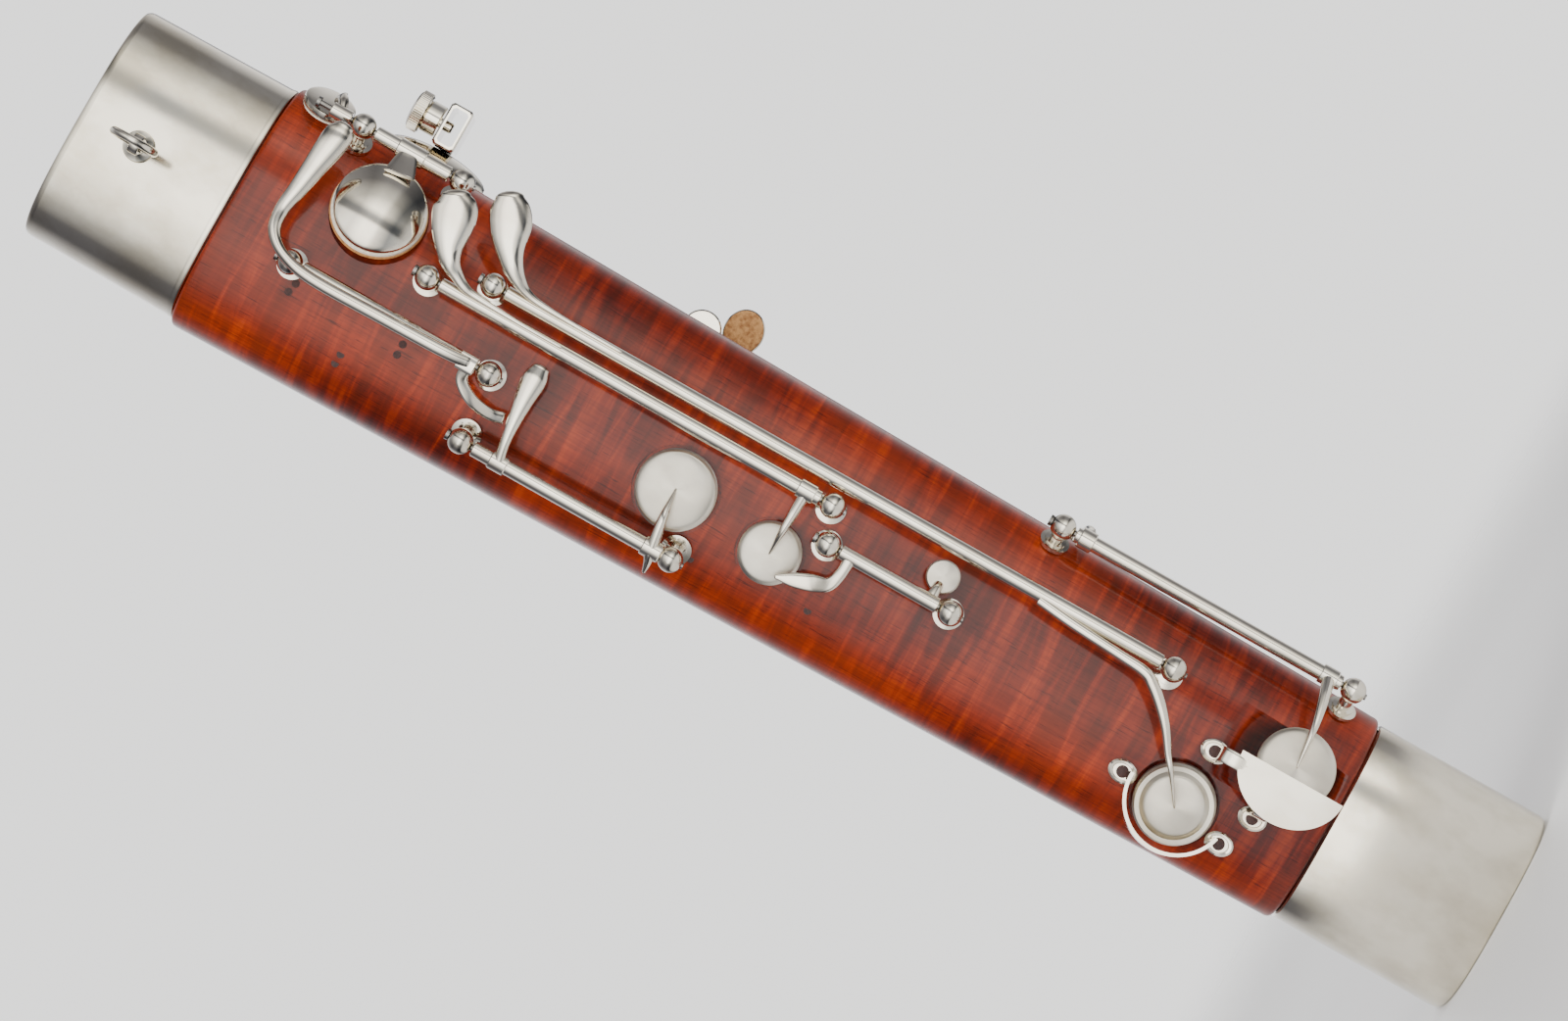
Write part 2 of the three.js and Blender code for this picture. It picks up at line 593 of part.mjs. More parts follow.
// ---- guards ----
// A flat bow in the plane of the face, from one angle to another round a centre.
function bow(centre, inner, outer, fromDegrees, toDegrees, yFrom, yTo) {
  const from = THREE.MathUtils.degToRad(fromDegrees);
  const to = THREE.MathUtils.degToRad(toDegrees);
  const shape = new THREE.Shape();
  shape.absarc(0, 0, outer, from, to, false);
  shape.absarc(0, 0, inner, to, from, true);
  return new THREE.ExtrudeGeometry(shape, { depth: yTo - yFrom, bevelEnabled: false, curveSegments: 14 })
    .rotateX(Math.PI / 2)
    .translate(centre.x, yTo, centre.z);
}

// A round foot on the wood with a pillar up to a guard.
function guardFoot(x, z, topY, radius = 1.3) {
  const y = -faceDepth(Math.max(0, Math.abs(x) - 3), z) - GAP;
  return turned([[0, 0], [3, 0], [3, 0.9], [radius, 1.5], [radius, y - topY], [0, y - topY]], 10)
    .rotateX(Math.PI / 2)
    .translate(x, y, z);
}

function addFSharpGuard() {
  const { x, z } = PADS.f_sharp;
  const { inner, outer, from, to, top, height } = F_SHARP_GUARD;
  const pillar = 1.8;
  addPiece('f_sharp_pad_guard', joined(
    bow({ x, z }, inner, outer, from, to, top, top + height),
    guardFoot(x, z + outer + 1.4, top + 4, pillar),
    guardFoot(x - 4.3, z - outer - 1, top + 4, pillar),
  ), nickelSilver);
}

function addLowFGuard() {
  const { x, y, z, radius, bulge, thickness } = LOW_F_GUARD;
  const shape = new THREE.Shape().absarc(0, 0, radius, 0, Math.PI, false);
  const plate = new THREE.ExtrudeGeometry(shape, { depth: thickness, bevelEnabled: false, curveSegments: 12 })
    .scale(1, bulge / radius, 1)
    .rotateX(Math.PI / 2)
    .rotateY(-Math.PI / 2)
    .translate(x, y + thickness, z);
  const middle = y + thickness / 2;
  const upperFoot = { x: 0.6, z: 89 };
  const sideFoot = { x: -8.6, z: 72.6 };
  addPiece('low_f_pad_guard', joined(
    plate,
    guardFoot(upperFoot.x, upperFoot.z, y + 1.1),
    guardFoot(sideFoot.x, sideFoot.z, middle),
    bar([[upperFoot.x, middle, upperFoot.z], [upperFoot.x, middle, 82]], 1.8, 0.6, 2),
  ), nickelSilver);
}

// ---- strap ring and hand rest ----
function addStrapRing() {
  const { z, eyeY, radius, wire } = STRAP_RING;
  const mount = joined(
    turned([[0, 0], [4.4, 0], [4.4, 1], [2.4, 2], [2, 5.6], [0, 5.6]], 12)
      .rotateX(Math.PI / 2)
      .translate(0, -24.5, z),
    cylinder(2.9, z - 1.5, z + 1.5, 12).translate(0, eyeY, 0),
  );
  const eye = cylinder(wire + 0.6, z - 4, z + 4, 10).translate(0, eyeY, 0);
  addPiece('strap_ring_mount', without(mount, eye), nickelSilver);
  const ring = new THREE.TorusGeometry(radius, wire, 8, 24)
    .rotateY(Math.PI / 2)
    .translate(0, eyeY - radius, z);
  addPiece('strap_ring', ring, nickelSilver);
}

// A lens of metal let on to the side of the wood: the cap of an ellipsoid.
function addHandRestPlate() {
  const { x, y, z, radii, innerX } = HAND_REST_PLATE;
  const below = z - 23;
  const above = z + 23;
  const body = lofted([below, above].map((at) => {
    const { halfWidth, halfDepth } = woodSize(at);
    return [at, halfWidth + GAP, halfDepth + GAP];
  }));
  const core = new THREE.BoxGeometry(2 * innerX, 80, 60).translate(0, 0, z);
  addPiece('hand_rest_plate', without(ellipsoid([x, y, z], radii), body, core), nickelSilver);
}

function addHandRestBlock() {
  const { x, y, z, size, slot } = HAND_REST_BLOCK;
  const [outer, inner] = [size, slot].map((box) => new THREE.BoxGeometry(...box).translate(x, y, z));
  const hole = cylinder(THUMB_SCREW.hole, z, z + 5, 8).translate(x, y, 0);
  addPiece('hand_rest_socket', without(outer, inner, hole), nickelSilver);
}

function addThumbScrew() {
  const { x, y, z, size } = HAND_REST_BLOCK;
  const { shank, collar, head } = THUMB_SCREW;
  const point = z + 0.4;
  const bottom = z + size[2] / 2 + GAP;
  const screw = turned([
    [0, point], [shank, point], [shank, bottom], [collar, bottom], [collar, bottom + 4.6],
    [head, bottom + 5], [head, bottom + 8.4], [head - 0.8, bottom + 9.2], [0, bottom + 9.6],
  ], 16);
  addPiece('hand_rest_screw', screw.translate(x, y, 0), nickelSilver);
}

addWoodBody();
addTopFerrule();
addBottomCap();
addUTube();
addBFlatLever();
addBFlatKey();
addLowEKey();
addAFlatKey();
addFSharpKey();
addLinkKey();
addLowFKey();
addGKey();
addFTouch();
addAFlatTouch();
addPushRod();
addFSharpGuard();
addLowFGuard();
addStrapRing();
addHandRestPlate();
addHandRestBlock();
addThumbScrew();

export default joint;
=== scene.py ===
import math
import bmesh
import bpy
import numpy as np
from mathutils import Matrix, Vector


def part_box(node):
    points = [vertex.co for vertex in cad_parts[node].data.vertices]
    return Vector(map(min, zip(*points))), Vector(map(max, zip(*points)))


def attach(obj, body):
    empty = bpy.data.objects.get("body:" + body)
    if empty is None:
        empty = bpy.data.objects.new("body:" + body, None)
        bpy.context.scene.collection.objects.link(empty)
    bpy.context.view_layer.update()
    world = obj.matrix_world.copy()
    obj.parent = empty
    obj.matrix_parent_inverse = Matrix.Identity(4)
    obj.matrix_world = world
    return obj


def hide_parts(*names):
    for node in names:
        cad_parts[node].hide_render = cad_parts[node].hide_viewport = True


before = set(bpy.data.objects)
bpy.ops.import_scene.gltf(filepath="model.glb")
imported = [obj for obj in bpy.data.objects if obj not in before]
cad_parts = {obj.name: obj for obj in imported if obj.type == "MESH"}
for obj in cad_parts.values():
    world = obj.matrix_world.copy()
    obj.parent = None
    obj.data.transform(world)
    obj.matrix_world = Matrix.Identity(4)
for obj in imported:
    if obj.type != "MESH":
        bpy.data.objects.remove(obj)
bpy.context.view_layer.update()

# %% [markdown]
# # The boot joint of a bassoon
# The boot is the folded lower end of the bore: two bores side by side in one block of maple, a U-tube
# under a metal cap, sockets for the wing and long joints in a metal ferrule, and the thumb keys.
# Every piece below stands in the shared frame: the cap on the floor, the bores along Z, the thumb side
# towards -Y. Numbers are millimetres until a mesh is made.

# %% [markdown]
# ## Units and places
# The posts and rods in the frame say where each hinge line runs. Keys are drawn from their hinge line, so
# a key always turns about the rod that carries it.

# %% Units and places
MM = 0.001


def middle(node):
    low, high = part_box(node)
    return (np.array(low) + np.array(high)) / 2 / MM


def hinge_line(name):
    x, y, _ = middle(f"{name}_rod")
    top, bottom = (middle(f"{name}_post_{end}")[2] for end in ("upper", "lower"))
    return {"x": x, "y": y, "top": top, "bottom": bottom}


HINGED = ["b_flat_lever", "b_flat_key", "low_e", "a_flat_key", "f_sharp_key", "link_key",
          "low_f_key", "g_key", "f_touch", "a_flat_touch"]
hinges = {name: hinge_line(name) for name in HINGED}
print("hinge lines:", len(hinges))

# %% [markdown]
# ## Wood outline
# The section is between an ellipse and a rectangle, so that flat faces carry the keys and the sides
# still sit round in the hand. One rule gives the outline at any height.

# %% Wood outline
SECTION_POWER = 2.8
WOOD_BOTTOM = (53.5, 31.2, 21.0)
WOOD_TOP = (397.7, 37.4, 25.0)


def wood_size(z):
    share = (z - WOOD_BOTTOM[0]) / (WOOD_TOP[0] - WOOD_BOTTOM[0])
    return [low + (high - low) * share for low, high in zip(WOOD_BOTTOM[1:], WOOD_TOP[1:])]


def outline(half_width, half_depth, z, count=240, power=SECTION_POWER):
    angle = np.linspace(0, 2 * np.pi, count, endpoint=False)
    x = np.sign(np.cos(angle)) * np.abs(np.cos(angle)) ** (2 / power) * half_width
    y = np.sign(np.sin(angle)) * np.abs(np.sin(angle)) ** (2 / power) * half_depth
    return np.stack([x, y, np.full(count, float(z))], axis=1)


def face_depth(x, z):
    half_width, half_depth = wood_size(z)
    return half_depth * (1 - abs(x / half_width) ** SECTION_POWER) ** (1 / SECTION_POWER)


def foot_of(x, y, z):
    ring = outline(*wood_size(z), z, 720)
    return ring[np.argmin(np.hypot(ring[:, 0] - x, ring[:, 1] - y))]


print("wood at mid height:", [round(v, 1) for v in wood_size(225)])

# %% [markdown]
# ## Skins
# Most key parts are turned or forged, so two shapes make nearly all of them: a profile turned round an
# axis, and a bar drawn along a path with a width and a thickness at each point. Both are rings of points
# closed into a skin. Its UV map follows the rings, so that a finish can follow the turning.

# %% Skins
def skin(rings, ends=None, loop=False):
    """Rings of points joined into faces, closed by two end points or by going round in a loop."""
    rings = np.asarray(rings, float)
    rows, count = rings.shape[:2]
    points = rings.reshape(-1, 3).tolist()
    faces, uvs = [], []
    for j in range(rows if loop else rows - 1):
        k = (j + 1) % rows
        for i in range(count):
            h = (i + 1) % count
            faces.append((j * count + i, j * count + h, k * count + h, k * count + i))
            left, right, low, high = i / count, (i + 1) / count, j / rows, (j + 1) / rows
            uvs.append(((left, low), (right, low), (right, high), (left, high)))
    for end, j in zip(ends if ends is not None else (), (0, rows - 1)):
        points.append(list(end))
        for i in range(count):
            left, right, low = i / count, (i + 1) / count, j / rows
            high = low + (1 if j else -1) / rows
            faces.append((j * count + i, j * count + (i + 1) % count, len(points) - 1))
            uvs.append(((left, low), (right, low), ((left + right) / 2, high)))
    return points, faces, uvs


square = [(0, 0), (1, 0), (1, 1), (0, 1)]
print("a square tube has", len(skin([[(x, y, z) for x, y in square] for z in (0, 1)])[1]), "sides")

# %% [markdown]
# ## Turned pieces
# A lathe turns cups, collars and buttons from a profile of radius and height. A profile that starts on
# the axis closes at poles, and one that doesn't is closed into a ring, as for a tube.

# %% Turned pieces
def basis(axis):
    """Two directions across an axis, and the axis itself, all one unit long."""
    axis = np.array(axis, float) / np.linalg.norm(axis)
    start = np.array([0, 0, 1.0]) if abs(axis[2]) < 0.9 else np.array([1.0, 0, 0])
    first = np.cross(start, axis)
    first /= np.linalg.norm(first)
    return first, np.cross(axis, first), axis


def turned(profile, centre=(0, 0, 0), axis=(0, 0, 1), count=48, stretch=(1, 1)):
    """A profile of (radius, height) turned round an axis. It closes at poles, or as a ring without them."""
    first, second, axis = basis(axis)
    angle = np.linspace(0, 2 * np.pi, count, endpoint=False)
    spin = np.cos(angle)[:, None] * first * stretch[0] + np.sin(angle)[:, None] * second * stretch[1]
    centre = np.array(centre, float)
    rings = [centre + axis * height + spin * radius for radius, height in profile if radius > 0]
    if profile[0][0] > 0:
        return skin(rings, loop=True)
    return skin(rings, ends=[centre + axis * profile[0][1], centre + axis * profile[-1][1]])


print("a turned button has", len(turned([(0, 0), (1, 0), (1, 1), (0, 1)])[1]), "faces")

# %% [markdown]
# ## Forged bars
# Arms, levers and touches are forged from bar and filed. The path is smoothed through its points, and the
# section changes its width and thickness on the way. A power of 2 gives an oval section, and a higher one
# a section with flatter faces.

# %% Forged bars
TIP_ANGLES = [75, 55, 35, 15]  # degrees: the rings that round a bar's tips
THINNEST = 0.15


def smooth_path(values, steps):
    values = np.asarray(values, float)
    padded = np.vstack([2 * values[0] - values[1], values, 2 * values[-1] - values[-2]])
    out = []
    for i in range(len(values) - 1):
        a, b, c, d = padded[i:i + 4]
        for t in np.arange(steps) / steps:
            out.append(0.5 * (2 * b + (c - a) * t + (2 * a - 5 * b + 4 * c - d) * t ** 2
                              + (3 * b - a - 3 * c + d) * t ** 3))
    return np.array(out + [values[-1]])


def forged(path, sizes, up=(0, -1, 0), power=2.0, sides=20, tips=(1, 1), steps=8):
    """A bar along a path. sizes holds the half width and half thickness at each point."""
    whole = smooth_path(np.hstack([np.asarray(path, float), np.asarray(sizes, float)]), steps)
    line, size = whole[:, :3], np.maximum(whole[:, 3:], THINNEST)
    ahead = np.gradient(line, axis=0)
    ahead /= np.linalg.norm(ahead, axis=1)[:, None]
    angle = np.linspace(0, 2 * np.pi, sides, endpoint=False)
    across = np.sign(np.cos(angle)) * np.abs(np.cos(angle)) ** (2 / power)
    along = np.sign(np.sin(angle)) * np.abs(np.sin(angle)) ** (2 / power)

    def ring(place, heading, scale, extent):
        lift = np.array(up, float) - np.dot(up, heading) * heading
        lift /= np.linalg.norm(lift)
        side = np.cross(heading, lift)
        return place + scale * (across[:, None] * side * extent[0] + along[:, None] * lift * extent[1])

    rings = [ring(*item) for item in zip(line, ahead, np.ones(len(line)), size)]
    turn = np.radians(TIP_ANGLES)
    reach = [tip * size[end][1] for tip, end in zip(tips, (0, -1))]
    first = [ring(line[0] - ahead[0] * reach[0] * math.sin(a), ahead[0], math.cos(a), size[0]) for a in turn]
    last = [ring(line[-1] + ahead[-1] * reach[1] * math.sin(a), ahead[-1], math.cos(a), size[-1])
            for a in turn[::-1]]
    if not tips[0]:
        first = []
    if not tips[1]:
        last = []
    return skin(first + rings + last, ends=[line[0] - ahead[0] * reach[0], line[-1] + ahead[-1] * reach[1]])


bar = forged([(0, 0, 0), (10, 0, 0), (20, 0, 5)], [(2, 1)] * 3)
print("a bar of three points has", len(bar[1]), "faces")

# %% [markdown]
# ## From skins to pieces
# Skins and their finishes are merged into one mesh in metres. Faces are turned outward, and an edge stays
# crisp only where the surface turns sharply. A piece rides on its body and stands for its nodes.

# %% From skins to pieces
SOFT_EDGE, CUT_EDGE = 32, 30  # degrees: a sharper turn between two faces stays a crisp edge


def swung(shape, hinge, degrees):
    """The shape turned about a hinge line, as an open key stands."""
    points, faces, uvs = shape
    turn = math.radians(degrees)
    offset = np.array(points) - [hinge["x"], hinge["y"], 0]
    x = offset[:, 0] * math.cos(turn) - offset[:, 1] * math.sin(turn) + hinge["x"]
    y = offset[:, 0] * math.sin(turn) + offset[:, 1] * math.cos(turn) + hinge["y"]
    return np.stack([x, y, offset[:, 2]], axis=1).tolist(), faces, uvs


def mesh_of(name, parts):
    """Parts are (skin, material). They become one mesh in metres, faces outward."""
    points, faces, uvs, marks, materials = [], [], [], [], []
    for (part_points, part_faces, part_uvs), material in parts:
        if material not in materials:
            materials.append(material)
        base = len(points)
        points += [[v * MM for v in point] for point in part_points]
        faces += [tuple(base + i for i in face) for face in part_faces]
        uvs += part_uvs
        marks += [materials.index(material)] * len(part_faces)
    mesh = bpy.data.meshes.new(name)
    mesh.from_pydata(points, [], faces)
    for material in materials:
        mesh.materials.append(material)
    mesh.polygons.foreach_set("material_index", marks)
    layer = mesh.uv_layers.new(name="turning")
    layer.data.foreach_set("uv", [v for face in uvs for corner in face for v in corner])
    return mesh


def face_out(mesh, angle=SOFT_EDGE):
    work = bmesh.new()
    work.from_mesh(mesh)
    bmesh.ops.recalc_face_normals(work, faces=work.faces)
    work.to_mesh(mesh)
    work.free()
    mesh.shade_smooth()
    mesh.set_sharp_from_angle(angle=math.radians(angle))


def show(name, mesh):
    obj = bpy.data.objects.new(name, mesh)
    bpy.context.scene.collection.objects.link(obj)
    return obj


def piece(name, body, nodes, parts):
    mesh = mesh_of(name, parts)
    face_out(mesh)
    return settle(show(name, mesh), body, nodes)


def settle(obj, body, nodes):
    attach(obj, body)
    if nodes:
        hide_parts(*nodes)
    print(f"{obj.name}: {len(obj.data.polygons)} faces on {body}")
    return obj


def kept_mesh(obj):
    """The mesh with its modifiers applied, as a plain mesh in place of the old one."""
    graph = bpy.context.evaluated_depsgraph_get()
    mesh = bpy.data.meshes.new_from_object(obj.evaluated_get(graph))
    obj.modifiers.clear()
    obj.data = mesh


print("crisp edges from", CUT_EDGE, "degrees on the body, posts and rods, and from", SOFT_EDGE, "on keys")

# %% [markdown]
# ## Finishes
# Colours are written as they look on a screen and turned into linear light by one function. One more
# function adds a node, sets it and links it. A pattern is a noise whose marks are about one unit wide, so
# its scale is worked out from the real size of a mark in millimetres.

# %% Finishes
def linear(code):
    parts = [int(code[i:i + 2], 16) / 255 for i in (1, 3, 5)]
    return [v / 12.92 if v <= 0.04045 else ((v + 0.055) / 1.055) ** 2.4 for v in parts] + [1.0]


def add(tree, kind, inputs=None, **settings):
    node = tree.nodes.new(kind)
    for key, value in settings.items():
        setattr(node, key, value)
    for key, value in (inputs or {}).items():
        if isinstance(value, bpy.types.NodeSocket):
            tree.links.new(value, node.inputs[key])
        else:
            node.inputs[key].default_value = value
    return node


def stops(ramp_node, marks):
    ramp = ramp_node.color_ramp
    while len(ramp.elements) < len(marks):
        ramp.elements.new(0.5)
    for element, (place, colour) in zip(ramp.elements, marks):
        element.position = place
        element.color = colour if not isinstance(colour, str) else linear(colour)
    return ramp_node.outputs["Color"]


def finish(name):
    material = bpy.data.materials.new(name)
    material.use_nodes = True
    tree = material.node_tree
    tree.nodes.clear()
    shader = add(tree, "ShaderNodeBsdfPrincipled")
    add(tree, "ShaderNodeOutputMaterial", {"Surface": shader.outputs["BSDF"]})
    return material, tree, shader


def mark_scale(across, along):
    """The mapping scale that makes marks this many mm wide across the bores and long along them."""
    return (1 / (across * MM), 1 / (across * MM), 1 / (along * MM))


print("marks of 4 mm need a scale of", [round(v) for v in mark_scale(4, 4)])

# %% [markdown]
# ## Stained flamed maple
# The fibres of flamed maple wave, so the stain takes in bands across the grain, about 4 mm apart. The wood
# is stained red brown, rubbed back and lacquered. That leaves orange bands in a darker ground, fine lines
# along the bores, and a thin clear shine over both.

# %% Stained flamed maple
MAPLE_MARKS = {  # mm across the bores, mm along them, and the noise that draws the mark
    "flame": (41.6667, 4.0, {"Detail": 3.0, "Roughness": 0.55, "Distortion": 0.9}),
    "cloud": (29.4118, 66.6667, {"Detail": 3.0}),
    "fibre": (0.666667, 22.2222, {"Detail": 3.0, "Roughness": 0.6}),
    "pores": (0.384615, 6.66667, {"Detail": 2.0}),
}


def make_maple():
    material, tree, shader = finish("stained_flamed_maple")
    place = add(tree, "ShaderNodeTexCoord").outputs["Object"]
    marks = {}
    for name, (across, along, settings) in MAPLE_MARKS.items():
        scaled = add(tree, "ShaderNodeMapping", {"Vector": place, "Scale": mark_scale(across, along)})
        noise = {"Vector": scaled.outputs["Vector"], "Scale": 1.0} | settings
        marks[name] = add(tree, "ShaderNodeTexNoise", noise).outputs["Fac"]
    flame = stops(add(tree, "ShaderNodeValToRGB", {"Fac": marks["flame"]}),
                  [(0.32, "#300905"), (0.46, "#521007"), (0.56, "#761b06"), (0.70, "#9c3209")])
    shade = stops(add(tree, "ShaderNodeValToRGB", {"Fac": marks["cloud"]}),
                  [(0.34, "#360a06"), (0.66, "#a4380c")])
    mixed = add(tree, "ShaderNodeMix", {"Factor": 0.45, 6: flame, 7: shade}, data_type="RGBA")
    grain = stops(add(tree, "ShaderNodeValToRGB", {"Fac": marks["fibre"]}),
                  [(0.32, "#9c8880"), (0.62, "#ffffff")])
    lined = add(tree, "ShaderNodeMix", {"Factor": 0.45, 6: mixed.outputs[2], 7: grain}, data_type="RGBA",
                blend_type="MULTIPLY")
    dots = stops(add(tree, "ShaderNodeValToRGB", {"Fac": marks["pores"]}),
                 [(0.30, "#4a2a24"), (0.38, "#ffffff")])
    dotted = add(tree, "ShaderNodeMix", {"Factor": 0.6, 6: lined.outputs[2], 7: dots}, data_type="RGBA",
                 blend_type="MULTIPLY")
    tree.links.new(dotted.outputs[2], shader.inputs["Base Color"])
    bump = add(tree, "ShaderNodeBump", {"Height": marks["fibre"], "Strength": 0.06, "Distance": 0.2 * MM})
    tree.links.new(bump.outputs["Normal"], shader.inputs["Normal"])
    gloss = {"Roughness": 0.38, "Specular IOR Level": 0.15, "Coat Weight": 0.4, "Coat Roughness": 0.07,
             "Coat IOR": 1.5}
    for socket, value in gloss.items():
        shader.inputs[socket].default_value = value
    return material


maple = make_maple()
print("wood finish:", maple.name)

# %% [markdown]
# ## Nickel silver, steel and brass
# Nickel silver is copper, zinc and nickel: a warm white metal. Keys are forged, filed and buffed on a
# wheel, which leaves a mirror with a faint haze in patches some 14 mm wide. Cup tops stay as the lathe left
# them, so their shine runs in rings. The ferrule and cap are handled most, and are worn softer.

# %% Nickel silver, steel and brass
HAZE = (14.2857, 22.2222)  # mm across and along
BUFFED_SCRATCH = (1.11111, 16.6667)
WORN_SCRATCH = (3.33333, 1.11111)


def make_metal(name, colour, dark, rough, haze, scratch=BUFFED_SCRATCH, turning=0.0):
    material, tree, shader = finish(name)
    place = add(tree, "ShaderNodeTexCoord").outputs["Object"]
    patches = add(tree, "ShaderNodeMapping", {"Vector": place, "Scale": mark_scale(*HAZE)}).outputs["Vector"]
    hairs = add(tree, "ShaderNodeMapping", {"Vector": place, "Scale": mark_scale(*scratch)}).outputs["Vector"]
    cloud = add(tree, "ShaderNodeTexNoise", {"Vector": patches, "Scale": 1.0, "Detail": 4.0, "Roughness": 0.6})
    cloudy = cloud.outputs["Fac"]
    tint = stops(add(tree, "ShaderNodeValToRGB", {"Fac": cloudy}), [(0.35, dark), (0.6, colour)])
    tree.links.new(tint, shader.inputs["Base Color"])
    gloss = add(tree, "ShaderNodeMapRange", {"Value": cloudy, "From Min": 0.3, "From Max": 0.7,
                                             "To Min": rough + haze, "To Max": rough})
    tree.links.new(gloss.outputs["Result"], shader.inputs["Roughness"])
    fine = add(tree, "ShaderNodeTexNoise", {"Vector": hairs, "Scale": 1.0, "Detail": 2.0})
    bump = add(tree, "ShaderNodeBump", {"Height": fine.outputs["Fac"], "Strength": 0.02, "Distance": 0.1 * MM})
    tree.links.new(bump.outputs["Normal"], shader.inputs["Normal"])
    shader.inputs["Metallic"].default_value = 1.0
    if turning:
        shader.inputs["Anisotropic"].default_value = turning
        tangent = add(tree, "ShaderNodeTangent", direction_type="UV_MAP", uv_map="turning")
        tree.links.new(tangent.outputs["Tangent"], shader.inputs["Tangent"])
    return material


polished = make_metal("polished_nickel_silver", "#ebe5d6", "#dcd4c4", 0.07, 0.05)
cup_metal = make_metal("turned_nickel_silver", "#ebe5d6", "#ded6c6", 0.34, 0.04, turning=0.95)
worn = make_metal("worn_nickel_silver", "#e6dfce", "#cfc6b2", 0.11, 0.09, scratch=WORN_SCRATCH)
steel = make_metal("rod_steel", "#9c9a96", "#77736d", 0.24, 0.10)
brass = make_metal("drawn_brass", "#b8985a", "#94763e", 0.28, 0.14)
print("metals:", [metal.name for metal in (polished, cup_metal, worn, steel, brass)])

# %% [markdown]
# ## Leather, skin, cork and plugs
# Tan leather holds the pad's felt, white kid skin seals it, and cork quietens a touch. All are matt, with a
# mottle of about a millimetre. The holes of moved posts are plugged with dark wood.

# %% Leather, skin, cork and plugs
def make_soft(name, colour, dark, rough, mark, depth):
    material, tree, shader = finish(name)
    place = add(tree, "ShaderNodeTexCoord").outputs["Object"]
    scaled = add(tree, "ShaderNodeMapping", {"Vector": place, "Scale": mark_scale(mark, mark)})
    mottle = add(tree, "ShaderNodeTexNoise", {"Vector": scaled.outputs["Vector"], "Scale": 1.0, "Detail": 5.0,
                                              "Roughness": 0.62}).outputs["Fac"]
    tint = stops(add(tree, "ShaderNodeValToRGB", {"Fac": mottle}), [(0.34, dark), (0.6, colour)])
    tree.links.new(tint, shader.inputs["Base Color"])
    bump = add(tree, "ShaderNodeBump", {"Height": mottle, "Strength": 0.35, "Distance": depth})
    tree.links.new(bump.outputs["Normal"], shader.inputs["Normal"])
    shader.inputs["Roughness"].default_value = rough
    return material


tan_leather = make_soft("tan_leather", "#c08a55", "#9a673a", 0.7, 0.909091, 0.12 * MM)
kid_skin = make_soft("white_kid_skin", "#efe9da", "#d9cfba", 0.6, 1.11111, 0.08 * MM)
cork = make_soft("sheet_cork", "#c4935c", "#8a5a34", 0.85, 1.42857, 0.2 * MM)
plug_wood = make_soft("screw_plug", "#3a1a14", "#200c0a", 0.5, 0.666667, 0.1 * MM)
print("soft finishes:", [soft.name for soft in (tan_leather, kid_skin, cork, plug_wood)])

# %% [markdown]
# ## Pad seats
# A pad closes on a flat seat. Its place, direction and size are read from the pad in the frame, so that the
# cup, the pad, the seat and the tone hole agree. Three keys stand open, and their pads are turned back shut
# to find the seat in the wood.

# %% Pad seats
CUP_WALL = 1.2  # from the pad's edge to the outside of its cup


def seat_of(name, shoulder):
    """Middle, outward direction and radius of a pad's seat, read from the pad in the frame."""
    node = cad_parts[f"{name}_pad"]
    points = np.array([node.matrix_world @ v.co for v in node.data.vertices]) / MM
    points = np.unique(points.round(2), axis=0)
    centre = points.mean(axis=0)
    normal = np.linalg.svd(points - centre)[2][2]
    normal *= np.sign(normal[1]) * np.sign(centre[1])
    flat = points - centre - np.outer((points - centre) @ normal, normal)
    radius = np.linalg.norm(flat, axis=1).max() + CUP_WALL
    return {"middle": centre - normal * (shoulder - 1) / 2, "out": normal, "cup": radius}


CUPS = {  # heights above the seat of rim, shoulder and dome; the hole's radius; degrees open at rest
    "b_flat": (2.4, 5.0, 5.8, 5.5, 0),
    "low_e": (3.6, 6.2, 9.4, 8.0, 12),
    "a_flat": (2.2, 4.6, 5.2, 4.2, 0),
    "f_sharp": (2.2, 7.6, 8.4, 6.0, 0),
    "low_f": (2.2, 4.8, 5.6, 6.5, 8),
    "g": (2.2, 4.8, 5.6, 6.0, 10),
}
seats = {name: seat_of(name, cup[1]) for name, cup in CUPS.items()}
PAD_HINGE = {"low_e": "low_e", "low_f": "low_f_key", "g": "g_key"}


def closed_seat(name):
    """The seat in the wood: an open key's pad is turned back shut to find it."""
    seat, hinge = seats[name], hinges[PAD_HINGE.get(name, "b_flat_key")]
    turn = math.radians(-CUPS[name][4])
    spin = np.array([[math.cos(turn), -math.sin(turn), 0], [math.sin(turn), math.cos(turn), 0], [0, 0, 1]])
    pivot = np.array([hinge["x"], hinge["y"], 0])
    return spin @ (seat["middle"] - pivot) + pivot, spin @ seat["out"]


print("seats and cup radii:", {name: round(float(seat["cup"]), 1) for name, seat in seats.items()})

# %% [markdown]
# ## Maple body
# The block is turned and planed to its outline, with its two ends rounded so that they don't splinter. The
# narrower part at the bottom goes inside the cap.

# %% Maple body
CAP_SPIGOT = (46, 28.2, 18.2)  # height, half width and half depth of the part inside the cap
EDGE = 1.3  # rounding of both ends
EDGE_ANGLES = [22, 45, 68, 90]


